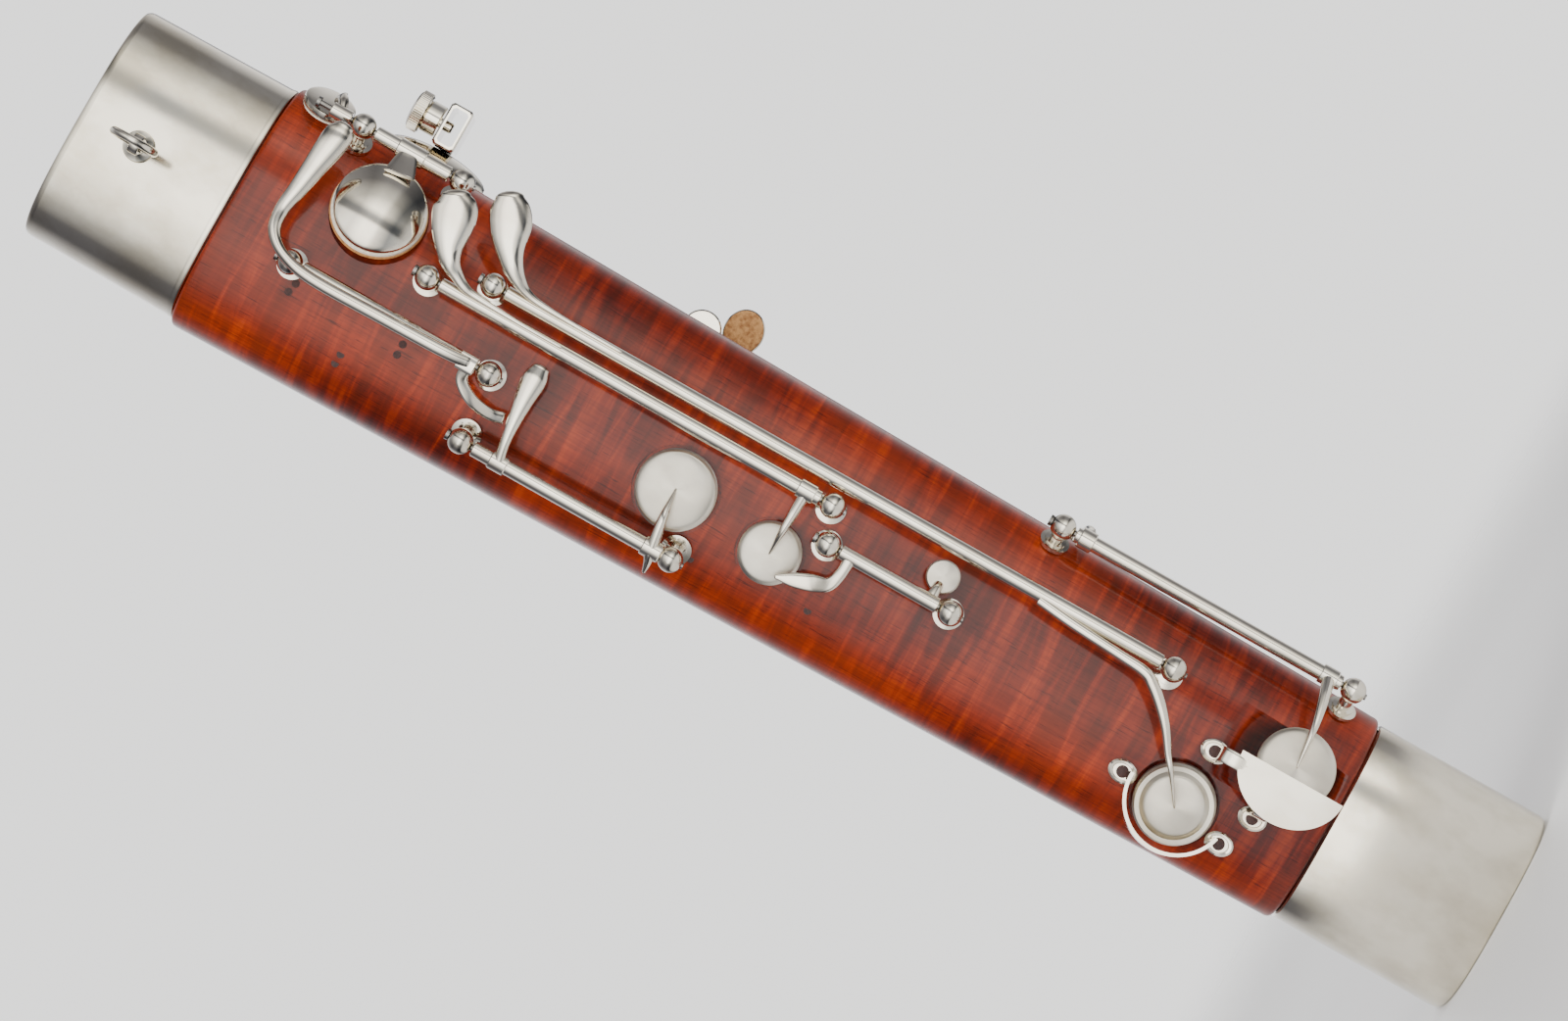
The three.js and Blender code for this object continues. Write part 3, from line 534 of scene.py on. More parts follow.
def make_body():
    low, high = WOOD_BOTTOM, WOOD_TOP
    levels = [CAP_SPIGOT, (low[0] - 0.2, *CAP_SPIGOT[1:]), (low[0], low[1] - EDGE, low[2] - EDGE)]
    for a in np.radians(EDGE_ANGLES):
        inset = EDGE * (1 - math.sin(a))
        levels.append((low[0] + EDGE * (1 - math.cos(a)), low[1] - inset, low[2] - inset))
    levels += [(z, *wood_size(z)) for z in np.linspace(60, 390, 12)]
    for a in np.radians(EDGE_ANGLES[::-1] + [0]):
        inset = EDGE * (1 - math.sin(a))
        levels.append((high[0] - EDGE * (1 - math.cos(a)), high[1] - inset, high[2] - inset))
    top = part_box("wood_body")[1][2] / MM
    levels += [(397.8, 33.9, 22.3), (top, 32.7, 21.7)]
    rings = [outline(width, depth, z) for z, width, depth in levels]
    block = skin(rings, ends=[(0, 0, CAP_SPIGOT[0]), (0, 0, top)])
    body = show("maple_body", mesh_of("maple_body", [(block, maple)]))
    face_out(body.data)
    return body


body = make_body()
print("block with", len(body.data.polygons), "faces")

# %% [markdown]
# ## Bores, sockets and seats
# The block is bored from its ends with long reamers. The seats are milled flat where a pad closes, because a
# pad can't seal on a curved face. Cutting in the same order as a workshop keeps each edge crisp.

# %% Bores, sockets and seats
NARROW_X, LARGE_X = -15.5, 16.5
BORE_START, BORE_END = 44, 409
NARROW_RADII, LARGE_RADII = (8.2, 6.5), (9.5, 12.0)  # at the cap end and at the socket end
SOCKET_FLOOR, SOCKET_END = 407.0, 450
NARROW_SOCKET, LARGE_SOCKET = 13, 14.6  # radii
SEAT_ROOM, SEAT_HEIGHT = 0.9, 9  # beyond the cup's edge, and above the seat
TONE_HOLE_DEPTH = 22
FINGER_HOLES = [(3.6, (-12, 0, 352)), (4.2, (-13, 0, 296))]
CHANNEL_RADIUS = 1.9


def rod_shape(radius, centre, axis, start, end, top_radius=None):
    top_radius = radius if top_radius is None else top_radius
    return turned([(0, start), (radius, start), (top_radius, end), (0, end)], centre, axis, 64)


def cut(body, name, shapes):
    mesh = mesh_of(name, [(shape, maple) for shape in shapes])
    face_out(mesh)
    tool = show(name, mesh)
    modifier = body.modifiers.new(name, "BOOLEAN")
    modifier.operation, modifier.solver, modifier.object = "DIFFERENCE", "EXACT", tool
    return tool


def bore_body(body):
    up, front = (0, 0, 1), (0, 1, 0)
    narrow, large = (NARROW_X, 0, 0), (LARGE_X, 0, 0)
    sides = [closed_seat(name) for name in CUPS]
    places = [(seat, out, seats[name]["cup"], CUPS[name][3]) for name, (seat, out) in zip(CUPS, sides)]
    push = middle("push_rod")
    shapes = {
        "bores": [rod_shape(low, line, up, BORE_START, BORE_END, high)
                  for line, (low, high) in ((narrow, NARROW_RADII), (large, LARGE_RADII))],
        "sockets": [rod_shape(radius, line, up, SOCKET_FLOOR, SOCKET_END)
                    for line, radius in ((narrow, NARROW_SOCKET), (large, LARGE_SOCKET))],
        "seats": [rod_shape(cup + SEAT_ROOM, seat, out, 0, SEAT_HEIGHT) for seat, out, cup, _ in places],
        "tone_holes": [rod_shape(hole, seat, out, -TONE_HOLE_DEPTH, 1) for seat, out, _, hole in places],
        "finger_holes": [rod_shape(radius, centre, front, 0, 30) for radius, centre in FINGER_HOLES],
        "rod_channel": [rod_shape(CHANNEL_RADIUS, (push[0], 0, push[2]), front, -30, 30)],
    }
    tools = [cut(body, name, shape) for name, shape in shapes.items()]
    kept_mesh(body)
    for tool in tools:
        bpy.data.objects.remove(tool)
    body.data.shade_smooth()
    body.data.set_sharp_from_angle(angle=math.radians(CUT_EDGE))


bore_body(body)
settle(body, "boot", ["wood_body"])

# %% [markdown]
# ## Ferrule and cap
# Both are spun from nickel silver sheet. The edge is rolled, which stiffens it and keeps it from
# cutting the hand; the ferrule keeps the thin walls of the sockets from splitting.

# %% Ferrule and cap
def ferrule_parts():
    base, top = (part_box("top_ferrule")[i][2] / MM for i in (0, 1))
    outer = [(base, 35.3, 23.7), (base + 0.3, 35.75, 24.15), (base + 0.9, 35.9, 24.3),
             (base + 1.8, 35.75, 24.2), (base + 2.2, 35.7, 24.15), (top - 2.0, 35.25, 24.15),
             (top - 0.9, 35.1, 24.0), (top - 0.25, 34.7, 23.6), (top, 34.1, 23.0), (top - 0.3, 33.4, 22.3)]
    inner = [(top - 1.5, 33.05, 22.05), (base, 34.2, 22.65)]
    return [(skin([outline(w, d, z) for z, w, d in outer + inner], loop=True), worn)]


def cap_parts():
    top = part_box("bottom_cap")[1][2] / MM
    outer = [(0, 27.6, 17.9), (0.25, 28.9, 19.2), (1.1, 29.9, 20.2), (2.4, 30.2, 20.5), (top - 1.6, 30.2, 20.5),
             (top - 0.5, 30.1, 20.4), (top, 29.6, 19.9)]
    inner = [(top - 0.4, 28.8, 19.0), (top - 2, 28.6, 18.8), (2.4, 28.6, 18.8), (1.6, 27.4, 17.6)]
    rings = [outline(w, d, z) for z, w, d in outer + inner]
    return [(skin(rings, ends=[(0, 0, 0.2), (0, 0, 1.5)]), worn)]


piece("socket_ferrule", "boot", ["top_ferrule"], ferrule_parts())
piece("boot_cap", "boot", ["bottom_cap"], cap_parts())
for node, material in (("u_tube", brass), ("u_tube_gasket", cork)):
    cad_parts[node].data.materials.clear()
    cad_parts[node].data.materials.append(material)
    print(node, "keeps its own mesh, inside the cap")

# %% [markdown]
# ## Ball posts
# Every hinge turns between two ball posts screwed into the wood. A post is turned in one piece: a
# stepped base, a waist and a ball, drilled for the rod. A line from the wood to the hinge line is all
# that differs, so the nodes read the line's length and give the radius at each height.

# %% Ball posts
def start_nodes(name, **numbers):
    tree = bpy.data.node_groups.new(name, "GeometryNodeTree")
    tree.interface.new_socket("Geometry", in_out="INPUT", socket_type="NodeSocketGeometry")
    for label in numbers:
        kind = "NodeSocketInt" if isinstance(numbers[label], int) else "NodeSocketFloat"
        tree.interface.new_socket(label, in_out="INPUT", socket_type=kind)
    tree.interface.new_socket("Geometry", in_out="OUTPUT", socket_type="NodeSocketGeometry")
    return tree, tree.nodes.new("NodeGroupInput").outputs


def end_nodes(tree, geometry, material):
    real = add(tree, "GeometryNodeRealizeInstances", {"Geometry": geometry})
    painted = add(tree, "GeometryNodeSetMaterial", {"Geometry": real.outputs[0], "Material": material})
    add(tree, "NodeGroupOutput", {0: painted.outputs[0]})


def run_nodes(obj, tree, numbers, angle=CUT_EDGE):
    """Runs a node tree on an object, with its numbers set by socket identifier, and keeps the mesh."""
    modifier = obj.modifiers.new(tree.name, "NODES")
    modifier.node_group = tree
    for item in tree.interface.items_tree:
        if item.in_out == "INPUT" and item.name in numbers:
            modifier[item.identifier] = numbers[item.name]
    kept_mesh(obj)
    face_out(obj.data, angle)
    return obj


def grow(name, points, edges, tree, numbers):
    mesh = bpy.data.meshes.new(name)
    mesh.from_pydata([[v * MM for v in point] for point in points], edges, [])
    return run_nodes(show(name, mesh), tree, numbers)


# The radius at each height, one step a line: a name, an operation and the two values that it joins.
POST_STEPS = [
    ("ball centre", "SUBTRACT", "total", "Ball radius"),
    ("away", "SUBTRACT", "ball centre", "along"),
    ("ball squared", "MULTIPLY", "Ball radius", "Ball radius"),
    ("away squared", "MULTIPLY", "away", "away"),
    ("inside", "SUBTRACT", "ball squared", "away squared"),
    ("inside the ball", "MAXIMUM", "inside", 0.0),
    ("ball", "SQRT", "inside the ball", 0.0),
    ("at the foot", "LESS_THAN", "along", "Foot height"),
    ("foot", "MULTIPLY", "at the foot", "Foot radius"),
    ("at the step", "LESS_THAN", "along", "Step height"),
    ("step", "MULTIPLY", "at the step", "Step radius"),
    ("below the ball", "GREATER_THAN", "away", 0.0),
    ("stem", "MULTIPLY", "below the ball", "Stem radius"),
    ("base", "MAXIMUM", "foot", "step"),
    ("upper part", "MAXIMUM", "ball", "stem"),
    ("widest", "MAXIMUM", "base", "upper part"),
    ("size", "MAXIMUM", "widest", 0.08 * MM),
]


def post_nodes(numbers):
    tree, given = start_nodes("turned_posts", **numbers)
    line = add(tree, "GeometryNodeMeshToCurve", {"Mesh": given["Geometry"]})
    fine = add(tree, "GeometryNodeResampleCurve", {"Curve": line.outputs[0], "Count": given["Rings"]})
    along = add(tree, "GeometryNodeSplineParameter").outputs["Length"]
    total = add(tree, "GeometryNodeSplineLength").outputs["Length"]
    values = {"along": along, "total": total} | {name: given[name] for name in numbers}
    for name, operation, first, second in POST_STEPS:
        inputs = {0: values.get(first, first), 1: values.get(second, second)}
        values[name] = add(tree, "ShaderNodeMath", inputs, operation=operation).outputs[0]
    section = add(tree, "GeometryNodeCurvePrimitiveCircle", {"Resolution": given["Sides"], "Radius": 1.0})
    sized = add(tree, "GeometryNodeSetCurveRadius", {"Curve": fine.outputs[0], "Radius": values["size"]})
    solid = add(tree, "GeometryNodeCurveToMesh", {"Curve": sized.outputs[0], "Fill Caps": True,
                                                  "Profile Curve": section.outputs[0]})
    if "Scale" in solid.inputs:
        radius = add(tree, "GeometryNodeInputRadius")
        tree.links.new(radius.outputs[0], solid.inputs["Scale"])
    end_nodes(tree, solid.outputs[0], polished)
    return tree


POST_BALL = 3.6
POST = {"Rings": 64, "Sides": 28, "Ball radius": POST_BALL * MM,
        "Foot radius": 4.3 * MM, "Foot height": 1.1 * MM, "Step radius": 3.1 * MM,
        "Step height": 1.9 * MM, "Stem radius": 1.9 * MM}


def make_posts():
    points, edges, nodes = [], [], []
    for name, hinge in hinges.items():
        for end, z in (("upper", hinge["top"]), ("lower", hinge["bottom"])):
            foot = foot_of(hinge["x"], hinge["y"], z)
            reach = np.array([hinge["x"], hinge["y"], z]) - foot
            out = reach / np.linalg.norm(reach)
            points += [foot + out * 0.05, foot + reach + out * POST_BALL]
            edges.append((len(points) - 2, len(points) - 1))
            nodes.append(f"{name}_post_{end}")
    posts = grow("ball_posts", points, edges, post_nodes(POST), POST)
    return settle(posts, "boot", nodes)


make_posts()

# %% [markdown]
# ## Hinge rods
# A hardened steel rod goes through both balls and the hinge tube. Its slotted head sits outside the
# upper ball, so the key comes off with a screwdriver.

# %% Hinge rods
def rod_nodes(numbers):
    tree, given = start_nodes("slotted_rods", **numbers)
    line = add(tree, "GeometryNodeMeshToCurve", {"Mesh": given["Geometry"]})
    section = add(tree, "GeometryNodeCurvePrimitiveCircle", {"Resolution": 16, "Radius": given["Rod radius"]})
    rod = add(tree, "GeometryNodeCurveToMesh", {"Curve": line.outputs[0], "Profile Curve": section.outputs[0],
                                                "Fill Caps": True})
    disc = add(tree, "GeometryNodeMeshCylinder", {"Vertices": 24, "Radius": given["Head radius"],
                                                  "Depth": given["Head height"]})
    slot_size = add(tree, "ShaderNodeCombineXYZ", {"X": 5 * MM, "Y": given["Slot width"],
                                                   "Z": given["Head height"]})
    slot = add(tree, "GeometryNodeMeshCube", {"Size": slot_size.outputs[0]})
    half = add(tree, "ShaderNodeMath", {0: given["Head height"], 1: 0.5}, operation="MULTIPLY").outputs[0]
    lift = add(tree, "ShaderNodeCombineXYZ", {"Z": half})
    raised = add(tree, "GeometryNodeTransform", {"Geometry": slot.outputs[0], "Translation": lift.outputs[0],
                                                 "Rotation": (0, 0, 0.6)})
    head = add(tree, "GeometryNodeMeshBoolean", {0: disc.outputs[0], 1: raised.outputs[0]},
               operation="DIFFERENCE")
    tops = add(tree, "GeometryNodeInputNamedAttribute", {"Name": "head"}, data_type="BOOLEAN")
    heads = add(tree, "GeometryNodeInstanceOnPoints", {"Points": given["Geometry"], "Instance": head.outputs[0],
                                                       "Selection": tops.outputs["Attribute"]})
    both = tree.nodes.new("GeometryNodeJoinGeometry")
    for part in (rod, heads):
        tree.links.new(part.outputs[0], both.inputs[0])
    end_nodes(tree, both.outputs[0], steel)
    return tree


RODS = {"Rod radius": 0.85 * MM, "Head radius": 1.6 * MM, "Head height": 0.9 * MM, "Slot width": 0.35 * MM}


def make_rods(name, body, names):
    mesh = bpy.data.meshes.new(name)
    points, edges, heads = [], [], []
    for hinge in names:
        low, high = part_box(f"{hinge}_rod")
        line = hinges[hinge]
        points += [(line["x"] * MM, line["y"] * MM, z) for z in (low[2], high[2] - 0.45 * MM)]
        edges.append((len(points) - 2, len(points) - 1))
        heads += [False, True]
    mesh.from_pydata(points, edges, [])
    mesh.attributes.new("head", "BOOLEAN", "POINT").data.foreach_set("value", heads)
    rods = run_nodes(show(name, mesh), rod_nodes(RODS), RODS)
    return settle(rods, body, [f"{hinge}_rod" for hinge in names])


make_rods("hinge_rods", "boot", [name for name in HINGED if name != "low_e"])
make_rods("low_e_hinge_rod", "low_e_key", ["low_e"])

# %% [markdown]
# ## Hinge tubes and cups
# A key is a tube with arms silver-soldered to it. A pad cup is turned from bar with a thin lip, and
# the arm ends over its middle so that it presses the pad evenly.

# %% Hinge tubes and cups
def tube(hinge, start=None, end=None, radius=2.2):
    low = hinge["bottom"] + 3.9 if start is None else start
    high = hinge["top"] - 3.9 if end is None else end
    profile = [(1.05, low), (radius - 0.25, low), (radius, low + 0.25), (radius, high - 0.25),
               (radius - 0.25, high), (1.05, high)]
    return turned(profile, (hinge["x"], hinge["y"], 0), count=40), polished


def collar(hinge, z, length=5.0, radius=2.75):
    low, high = z - length / 2, z + length / 2
    profile = [(2.0, low), (radius - 0.2, low), (radius, low + 0.3), (radius, high - 0.3), (radius - 0.2, high),
               (2.0, high)]
    return turned(profile, (hinge["x"], hinge["y"], 0), count=40), polished


def cup(name, bevel=0.5, ridge=0.55, metal=None):
    rim, shoulder, dome = CUPS[name][:3]
    seat = seats[name]
    radius = seat["cup"]
    inner = radius - 0.7
    rise = dome - shoulder
    profile = [(0, shoulder - 0.9), (inner, shoulder - 0.9), (inner, rim), (radius - 0.25, rim - 0.05),
               (radius, rim + 0.2), (radius, shoulder - 0.2 - bevel), (radius - 0.15, shoulder - bevel),
               (radius - 0.3 - bevel, shoulder)]
    for share in (0.96, 0.91, 0.84, 0.76, 0.66, 0.54, 0.42, 0.29, 0.16, 0.05):
        reach = (radius - 0.3 - bevel) * share
        profile.append((reach, shoulder + rise * (1 - share ** 2) ** ridge))
    profile.append((0, dome))
    return turned(profile, seat["middle"], seat["out"], 96), metal or cup_metal


def over(name, lift=0.1, along=0.0):
    seat = seats[name]
    return seat["middle"] + seat["out"] * (CUPS[name][2] + lift) + np.array([0, 0, along])


def pad(name):
    """Felt and card inside tan leather, under a white skin; it bulges a little below the cup's lip."""
    rim, shoulder = CUPS[name][:2]
    seat = seats[name]
    wide = seat["cup"] + (0.75 if name == "low_e" else -0.45)
    step = rim * 0.62
    leather = [(0, 0.55), (wide - 1.2, 0.55), (wide - 0.4, 0.65), (wide, 0.4 + step * 0.5), (wide - 0.1, step),
               (wide - 1.2, step + 0.1), (0, step + 0.1)]
    skirt = seat["cup"] + (0.3 if name == "low_e" else -0.45)
    white = [(0, step + 0.05), (skirt - 0.5, step + 0.05), (skirt + 0.1, step + 0.3), (skirt, rim - 0.1),
             (seat["cup"] - 0.8, rim + 0.2), (seat["cup"] - 0.85, shoulder - 1.2), (0, shoulder - 1.2)]
    parts = [(turned(leather, seat["middle"], seat["out"], 72), tan_leather),
             (turned(white, seat["middle"], seat["out"], 72), kid_skin)]
    body_name = {"low_e": "low_e_key", "g": "g_key"}.get(name, f"{name}_key")
    stuffed = piece(f"{name}_key_pad", body_name, [f"{name}_pad"], parts)


for pad_name in CUPS:
    pad(pad_name)

# %% [markdown]
# ## Thumb keys at the top
# The B flat lever is a forged hook whose flat end lies under the thumb; its foot pushes the spoon of the
# B flat key below it.

# %% B flat lever and B flat key
def b_flat_lever():
    hinge = hinges["b_flat_lever"]
    y = hinge["y"]
    lever = forged(
        [(-7.6, y - 2.6, 318.6), (-8.3, y - 3.6, 326), (-8.7, y - 4.8, 345), (-8.9, y - 6.2, 366),
         (-6.9, y - 6.0, 375.8), (-2.7, y - 5.4, 381.2), (3.3, y - 4.6, 382.5), (11, y - 4.2, 381.5),
         (17.8, y - 3.8, 380.7), (25.5, y - 3.4, 379.7), (29.3, y - 3.2, 379.2), (31.3, y - 3.1, 379.0)],
        [(1.8, 1.5), (1.8, 1.6), (1.8, 1.7), (1.75, 1.8), (1.55, 1.8), (1.8, 1.8), (2.1, 1.8), (2.7, 1.8),
         (3.3, 1.9), (4.1, 2.0), (3.9, 1.9), (2.6, 1.4)], power=2.2, tips=(0.3, 0.9))
    foot = forged(
        [(-7.9, y - 1.8, 318.4), (-12.4, y + 0.4, 318.2), (-15.8, y + 2.0, 313.4), (-16.6, y + 4.4, 307.4),
         (-15.8, y + 5.4, 303.6)], [(1.7, 1.2)] * 5, power=3.5, tips=(0.3, 0.3))
    knuckle = forged([(hinge["x"] - 0.4, y - 1.0, 316.6), (hinge["x"] - 0.4, y - 1.0, 321.4)],
                     [(2.7, 2.7), (2.7, 2.7)], power=5, tips=(0.1, 0.1))
    return [tube(hinge), (lever, polished), (foot, polished), (knuckle, polished)]


def b_flat_key():
    hinge = hinges["b_flat_key"]
    y = hinge["y"]
    spoon = forged(
        [(-26.9, y - 1.4, 298.6), (-21.5, y - 2.6, 299.6), (-15.0, y - 2.6, 300.4), (-8.5, y - 2.6, 300.9),
         (-2.7, y - 2.6, 301.1), (0.7, y - 2.6, 301.1)],
        [(1.7, 1.3), (1.5, 1.3), (2.1, 1.4), (2.9, 1.5), (3.5, 1.5), (2.5, 1.2)], power=2.1)
    arm = forged(
        [(-33.2, y + 3.0, 250), (-30.6, y + 0.9, 250.3), (-26.9, y - 1.2, 251.1), (-17.9, y - 2.4, 252.5),
         tuple(over("b_flat", 0.0))],
        [(0.5, 0.5), (1.1, 0.9), (1.7, 1.5), (1.3, 1.3), (0.35, 0.5)], steps=10)
    return [tube(hinge), collar(hinge, 298.7), collar(hinge, 251, 5.6), (spoon, polished), (arm, polished),
            cup("b_flat")]


piece("b_flat_thumb_lever", "b_flat_lever", ["b_flat_lever"], b_flat_lever())
piece("b_flat_cup_key", "b_flat_key", ["b_flat_key"], b_flat_key())

# %% [markdown]
# ## Low E key
# The big domed cup stands open, so its pad shows as a thick ring. Its disc beside the ferrule carries the
# closing movement on to the next joint.

# %% Low E key
def low_e_key():
    hinge = hinges["low_e"]
    x, y = hinge["x"], hinge["y"]
    seat = seats["low_e"]
    edge = seat["middle"] + seat["out"] * 4.6 + np.array([10.6, 0, 0])
    web = forged([(x - 0.2, y - 1.4, 361.5), (x - 2.6, y - 3.0, 361.2), tuple(edge - [0, 0.4, 0])],
                 [(2.4, 0.9), (3.2, 0.8), (4.4, 0.7)], power=3, tips=(0.4, 0.2))
    dome = cup("low_e", 0.3, 1.0, polished)
    return [tube(hinge), (web, polished), collar(hinge, 361, 8.4), dome] + bridge(hinge)


def bridge(hinge):
    x, y = hinge["x"], hinge["y"]
    lean = math.radians(32)
    out = np.array([math.cos(-lean), math.sin(-lean), 0])
    centre = np.array([35.9, -16.4, 387.8])
    profile = [(0, -1.4), (6.2, -1.4), (7.3, -0.9), (7.5, 0), (7.3, 0.9), (6.2, 1.4), (0, 1.5)]
    skin_side = [(0, -2.2), (5.6, -2.2), (7.0, -1.9), (7.3, -1.3), (0, -1.3)]
    arm = forged([(x, y, 383.0), (38.2, y + 1.6, 384.4), (39.0, y + 5, 385.8)],
                 [(1.5, 1.4), (1.5, 1.3), (2.2, 1.1)])
    start = hinge["top"] + 3.9
    return [tube(hinge, start, start + 6), (turned(profile, centre, out, 64), polished),
            (turned(skin_side, centre, out, 64), kid_skin), (arm, polished)]


piece("low_e_cup_key", "low_e_key", ["low_e_key", "whisper_bridge"], low_e_key())

# %% [markdown]
# ## The two comma touches
# The A flat and F sharp thumb plates are alike: a broad head filed flat on top, running out in a thin
# tail along the hinge tube, so that the thumb slides from one to the other.

# %% A flat key and F sharp key
def comma(y, points, thickness=2.0):
    path = [(x, y - lift, z) for z, x, _, lift in points]
    sizes = [(width, max(0.5, min(thickness, width * 0.75))) for _, _, width, _ in points]
    return forged(path, sizes, power=2.15, tips=(0.9, 0.6)), polished


def a_flat_key():
    hinge = hinges["a_flat_key"]
    y = hinge["y"]
    touch = comma(y, [
        (343.8, 29.9, 4.2, 3.2), (342.5, 27.7, 5.9, 3.2), (341.2, 24.3, 6.1, 3.2), (339.8, 20.2, 5.2, 3.2),
        (338.1, 16.3, 3.8, 3.1), (335.9, 13.4, 2.7, 3.0), (333.1, 11.5, 1.9, 2.8), (329.4, 9.6, 1.4, 2.5),
        (325.0, 8.9, 1.0, 2.3), (312.0, 8.4, 0.6, 2.2), (299.0, 8.3, 0.5, 2.1)])
    arm = forged([(hinge["x"], y - 1.0, 222.2), (0.6, y + 0.6, 222.4), (-6.0, y + 0.8, 222.6),
                  tuple(over("a_flat", 0.0))], [(1.6, 1.3), (1.4, 1.2), (1.0, 0.9), (0.3, 0.5)], steps=10)
    return [tube(hinge), touch, collar(hinge, 222.2, 5.2), (arm, polished), cup("a_flat")]


def f_sharp_key():
    hinge = hinges["f_sharp_key"]
    y = hinge["y"]
    touch = comma(y, [
        (331.0, 36.8, 3.9, 3.2), (329.6, 34.6, 5.3, 3.2), (327.4, 31.1, 5.8, 3.2), (325.6, 27.2, 5.0, 3.2),
        (323.3, 23.6, 3.7, 3.1), (320.8, 20.7, 2.9, 3.0), (317.8, 18.4, 2.1, 2.8), (314.1, 16.6, 1.3, 2.5),
        (309.0, 15.7, 0.9, 2.3), (297.0, 15.3, 0.6, 2.2), (284.4, 15.2, 0.5, 2.1)])
    arm = forged(
        [(12.4, y - 0.9, 153), (11.2, y - 1.4, 142), (10.2, y - 1.6, 127), (9.5, y - 1.8, 118.7),
         (7.6, y - 1.8, 115.2), (4.1, y - 1.7, 111), (-0.9, y - 1.5, 106.4), (-6.8, y - 0.6, 102.2),
         (-11.3, y + 0.2, 98.6), tuple(over("f_sharp", 0.0))],
        [(1.4, 1.4), (1.4, 1.4), (1.4, 1.4), (1.6, 1.5), (1.7, 1.5), (1.6, 1.4), (1.3, 1.2), (1.0, 1.0),
         (0.7, 0.8), (0.3, 0.5)], power=2.6, tips=(0.1, 1))
    return [tube(hinge), touch, (arm, polished), cup("f_sharp", 2.6, 0.5)]


piece("a_flat_cup_key", "a_flat_key", ["a_flat_key"], a_flat_key())
piece("f_sharp_cup_key", "f_sharp_key", ["f_sharp_key"], f_sharp_key())

# %% [markdown]
# ## Link key and push rod
# The link key lies on the push rod that runs through the body. Its blade reaches the A flat cup, so the
# front touch and the thumb touch open the same pad.

# %% Link key and push rod
def link_key():
    hinge = hinges["link_key"]
    x, y = hinge["x"], hinge["y"]
    rod_x, _, rod_z = middle("push_rod")
    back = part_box("push_rod")[0][1] / MM
    blade = forged(
        [(x - 0.2, y - 0.6, 202.9), (-7.6, y - 0.2, 203.1), (-11.8, y + 0.4, 204.6), (-13.6, y + 2.2, 208.6),
         (-15.4, y + 2.6, 213.6), (-16.9, y + 2.6, 218.0)],
        [(1.7, 1.3), (1.6, 1.2), (1.9, 1.0), (2.4, 0.8), (2.0, 0.7), (0.7, 0.6)], power=3.2, tips=(0.3, 1))
    neck = forged([(x, y + 0.2, 178.9), (1.0, y + 1.4, 178.7), (3.2, back - 1.4, rod_z)],
                  [(2.2, 1.2), (1.5, 1.0), (1.4, 0.8)])
    profile = [(0, 0), (4.0, 0), (4.6, 0.35), (4.7, 0.8), (4.3, 1.2), (2.5, 1.4), (0, 1.45)]
    spoon = turned(profile, (5.3, back - 0.45, rod_z), (0, -1, 0), 56)
    return [tube(hinge), (blade, polished), (neck, polished), (spoon, cup_metal)]


def push_rod():
    low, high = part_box("push_rod")
    x, _, z = middle("push_rod")
    start, end = low[1] / MM, high[1] / MM
    profile = [(0, start), (0.9, start), (1.35, start + 0.5), (1.35, end - 0.5), (0.9, end), (0, end)]
    return [(turned(profile, (x, 0, z), (0, 1, 0), 24), steel)]


piece("link_lever", "link_key", ["link_key"], link_key())
piece("push_rod_pin", "push_rod", ["push_rod"], push_rod())

# %% [markdown]
# ## Low F key
# Its cup also stands open. The lug near the upper post goes round the side of the wood to the front
# touch that closes it.

# %% Low F key
def low_f_key():
    hinge = hinges["low_f_key"]
    x, y = hinge["x"], hinge["y"]
    hook = forged([(34.4, y + 1, 149), (36.6, y + 5, 149), (36.6, y + 11, 150)], [(1.6, 1.1)] * 3)
    arm = forged([(x, y - 0.8, 73.2), (28.1, y - 6.1, 72.2), (19.3, y - 9.7, 70.8), tuple(over("low_f", 0.0))],
                 [(1.9, 1.5), (1.6, 1.3), (1.1, 1.0), (0.3, 0.5)], steps=10)
    return [tube(hinge), collar(hinge, 149, 4.4, 2.95), collar(hinge, 73.2, 5.0), (hook, polished),
            (arm, polished), cup("low_f")]


piece("low_f_cup_key", "low_f_key", ["low_f_key"], low_f_key())

# %% [markdown]
# ## G key
# The fingers of the right hand work the front of the wood. The G key is pressed by a round plateau, and
# stands open, so its arms are drawn shut and swung up with it.

# %% G key
def g_key():
    hinge = hinges["g_key"]
    x, y = hinge["x"], hinge["y"]
    plateau = turned([(0, 0), (7.6, 0), (8.4, 0.5), (8.6, 1.2), (8.2, 2.0), (7.2, 2.25), (4.5, 1.7), (0, 1.4)],
                     (-13.5, 30, 224), (0, 1, 0), 64)
    upper = forged([(x, y + 1, 224), (-22, y + 3.4, 224), (-15, y + 3.6, 224)],
                   [(1.9, 1.4), (1.7, 1.2), (1.5, 0.7)], up=(0, 1, 0))
    lower = forged([(x, y + 1, 165), (-22, y + 3.4, 165), (-17, y + 4.2, 165), (-13.8, y + 4.0, 165)],
                   [(1.9, 1.4), (1.6, 1.3), (1.0, 1.0), (0.4, 0.5)], up=(0, 1, 0))
    moved = [(swung(shape, hinge, CUPS["g"][4]), polished) for shape in (plateau, upper, lower)]
    return [tube(hinge), collar(hinge, 224), collar(hinge, 165), cup("g")] + moved


piece("g_finger_key", "g_key", ["g_key"], g_key())

# %% [markdown]
# ## F touch
# The little finger's touch is faced with cork. Its tail goes round the side of the wood and closes the low
# F key.

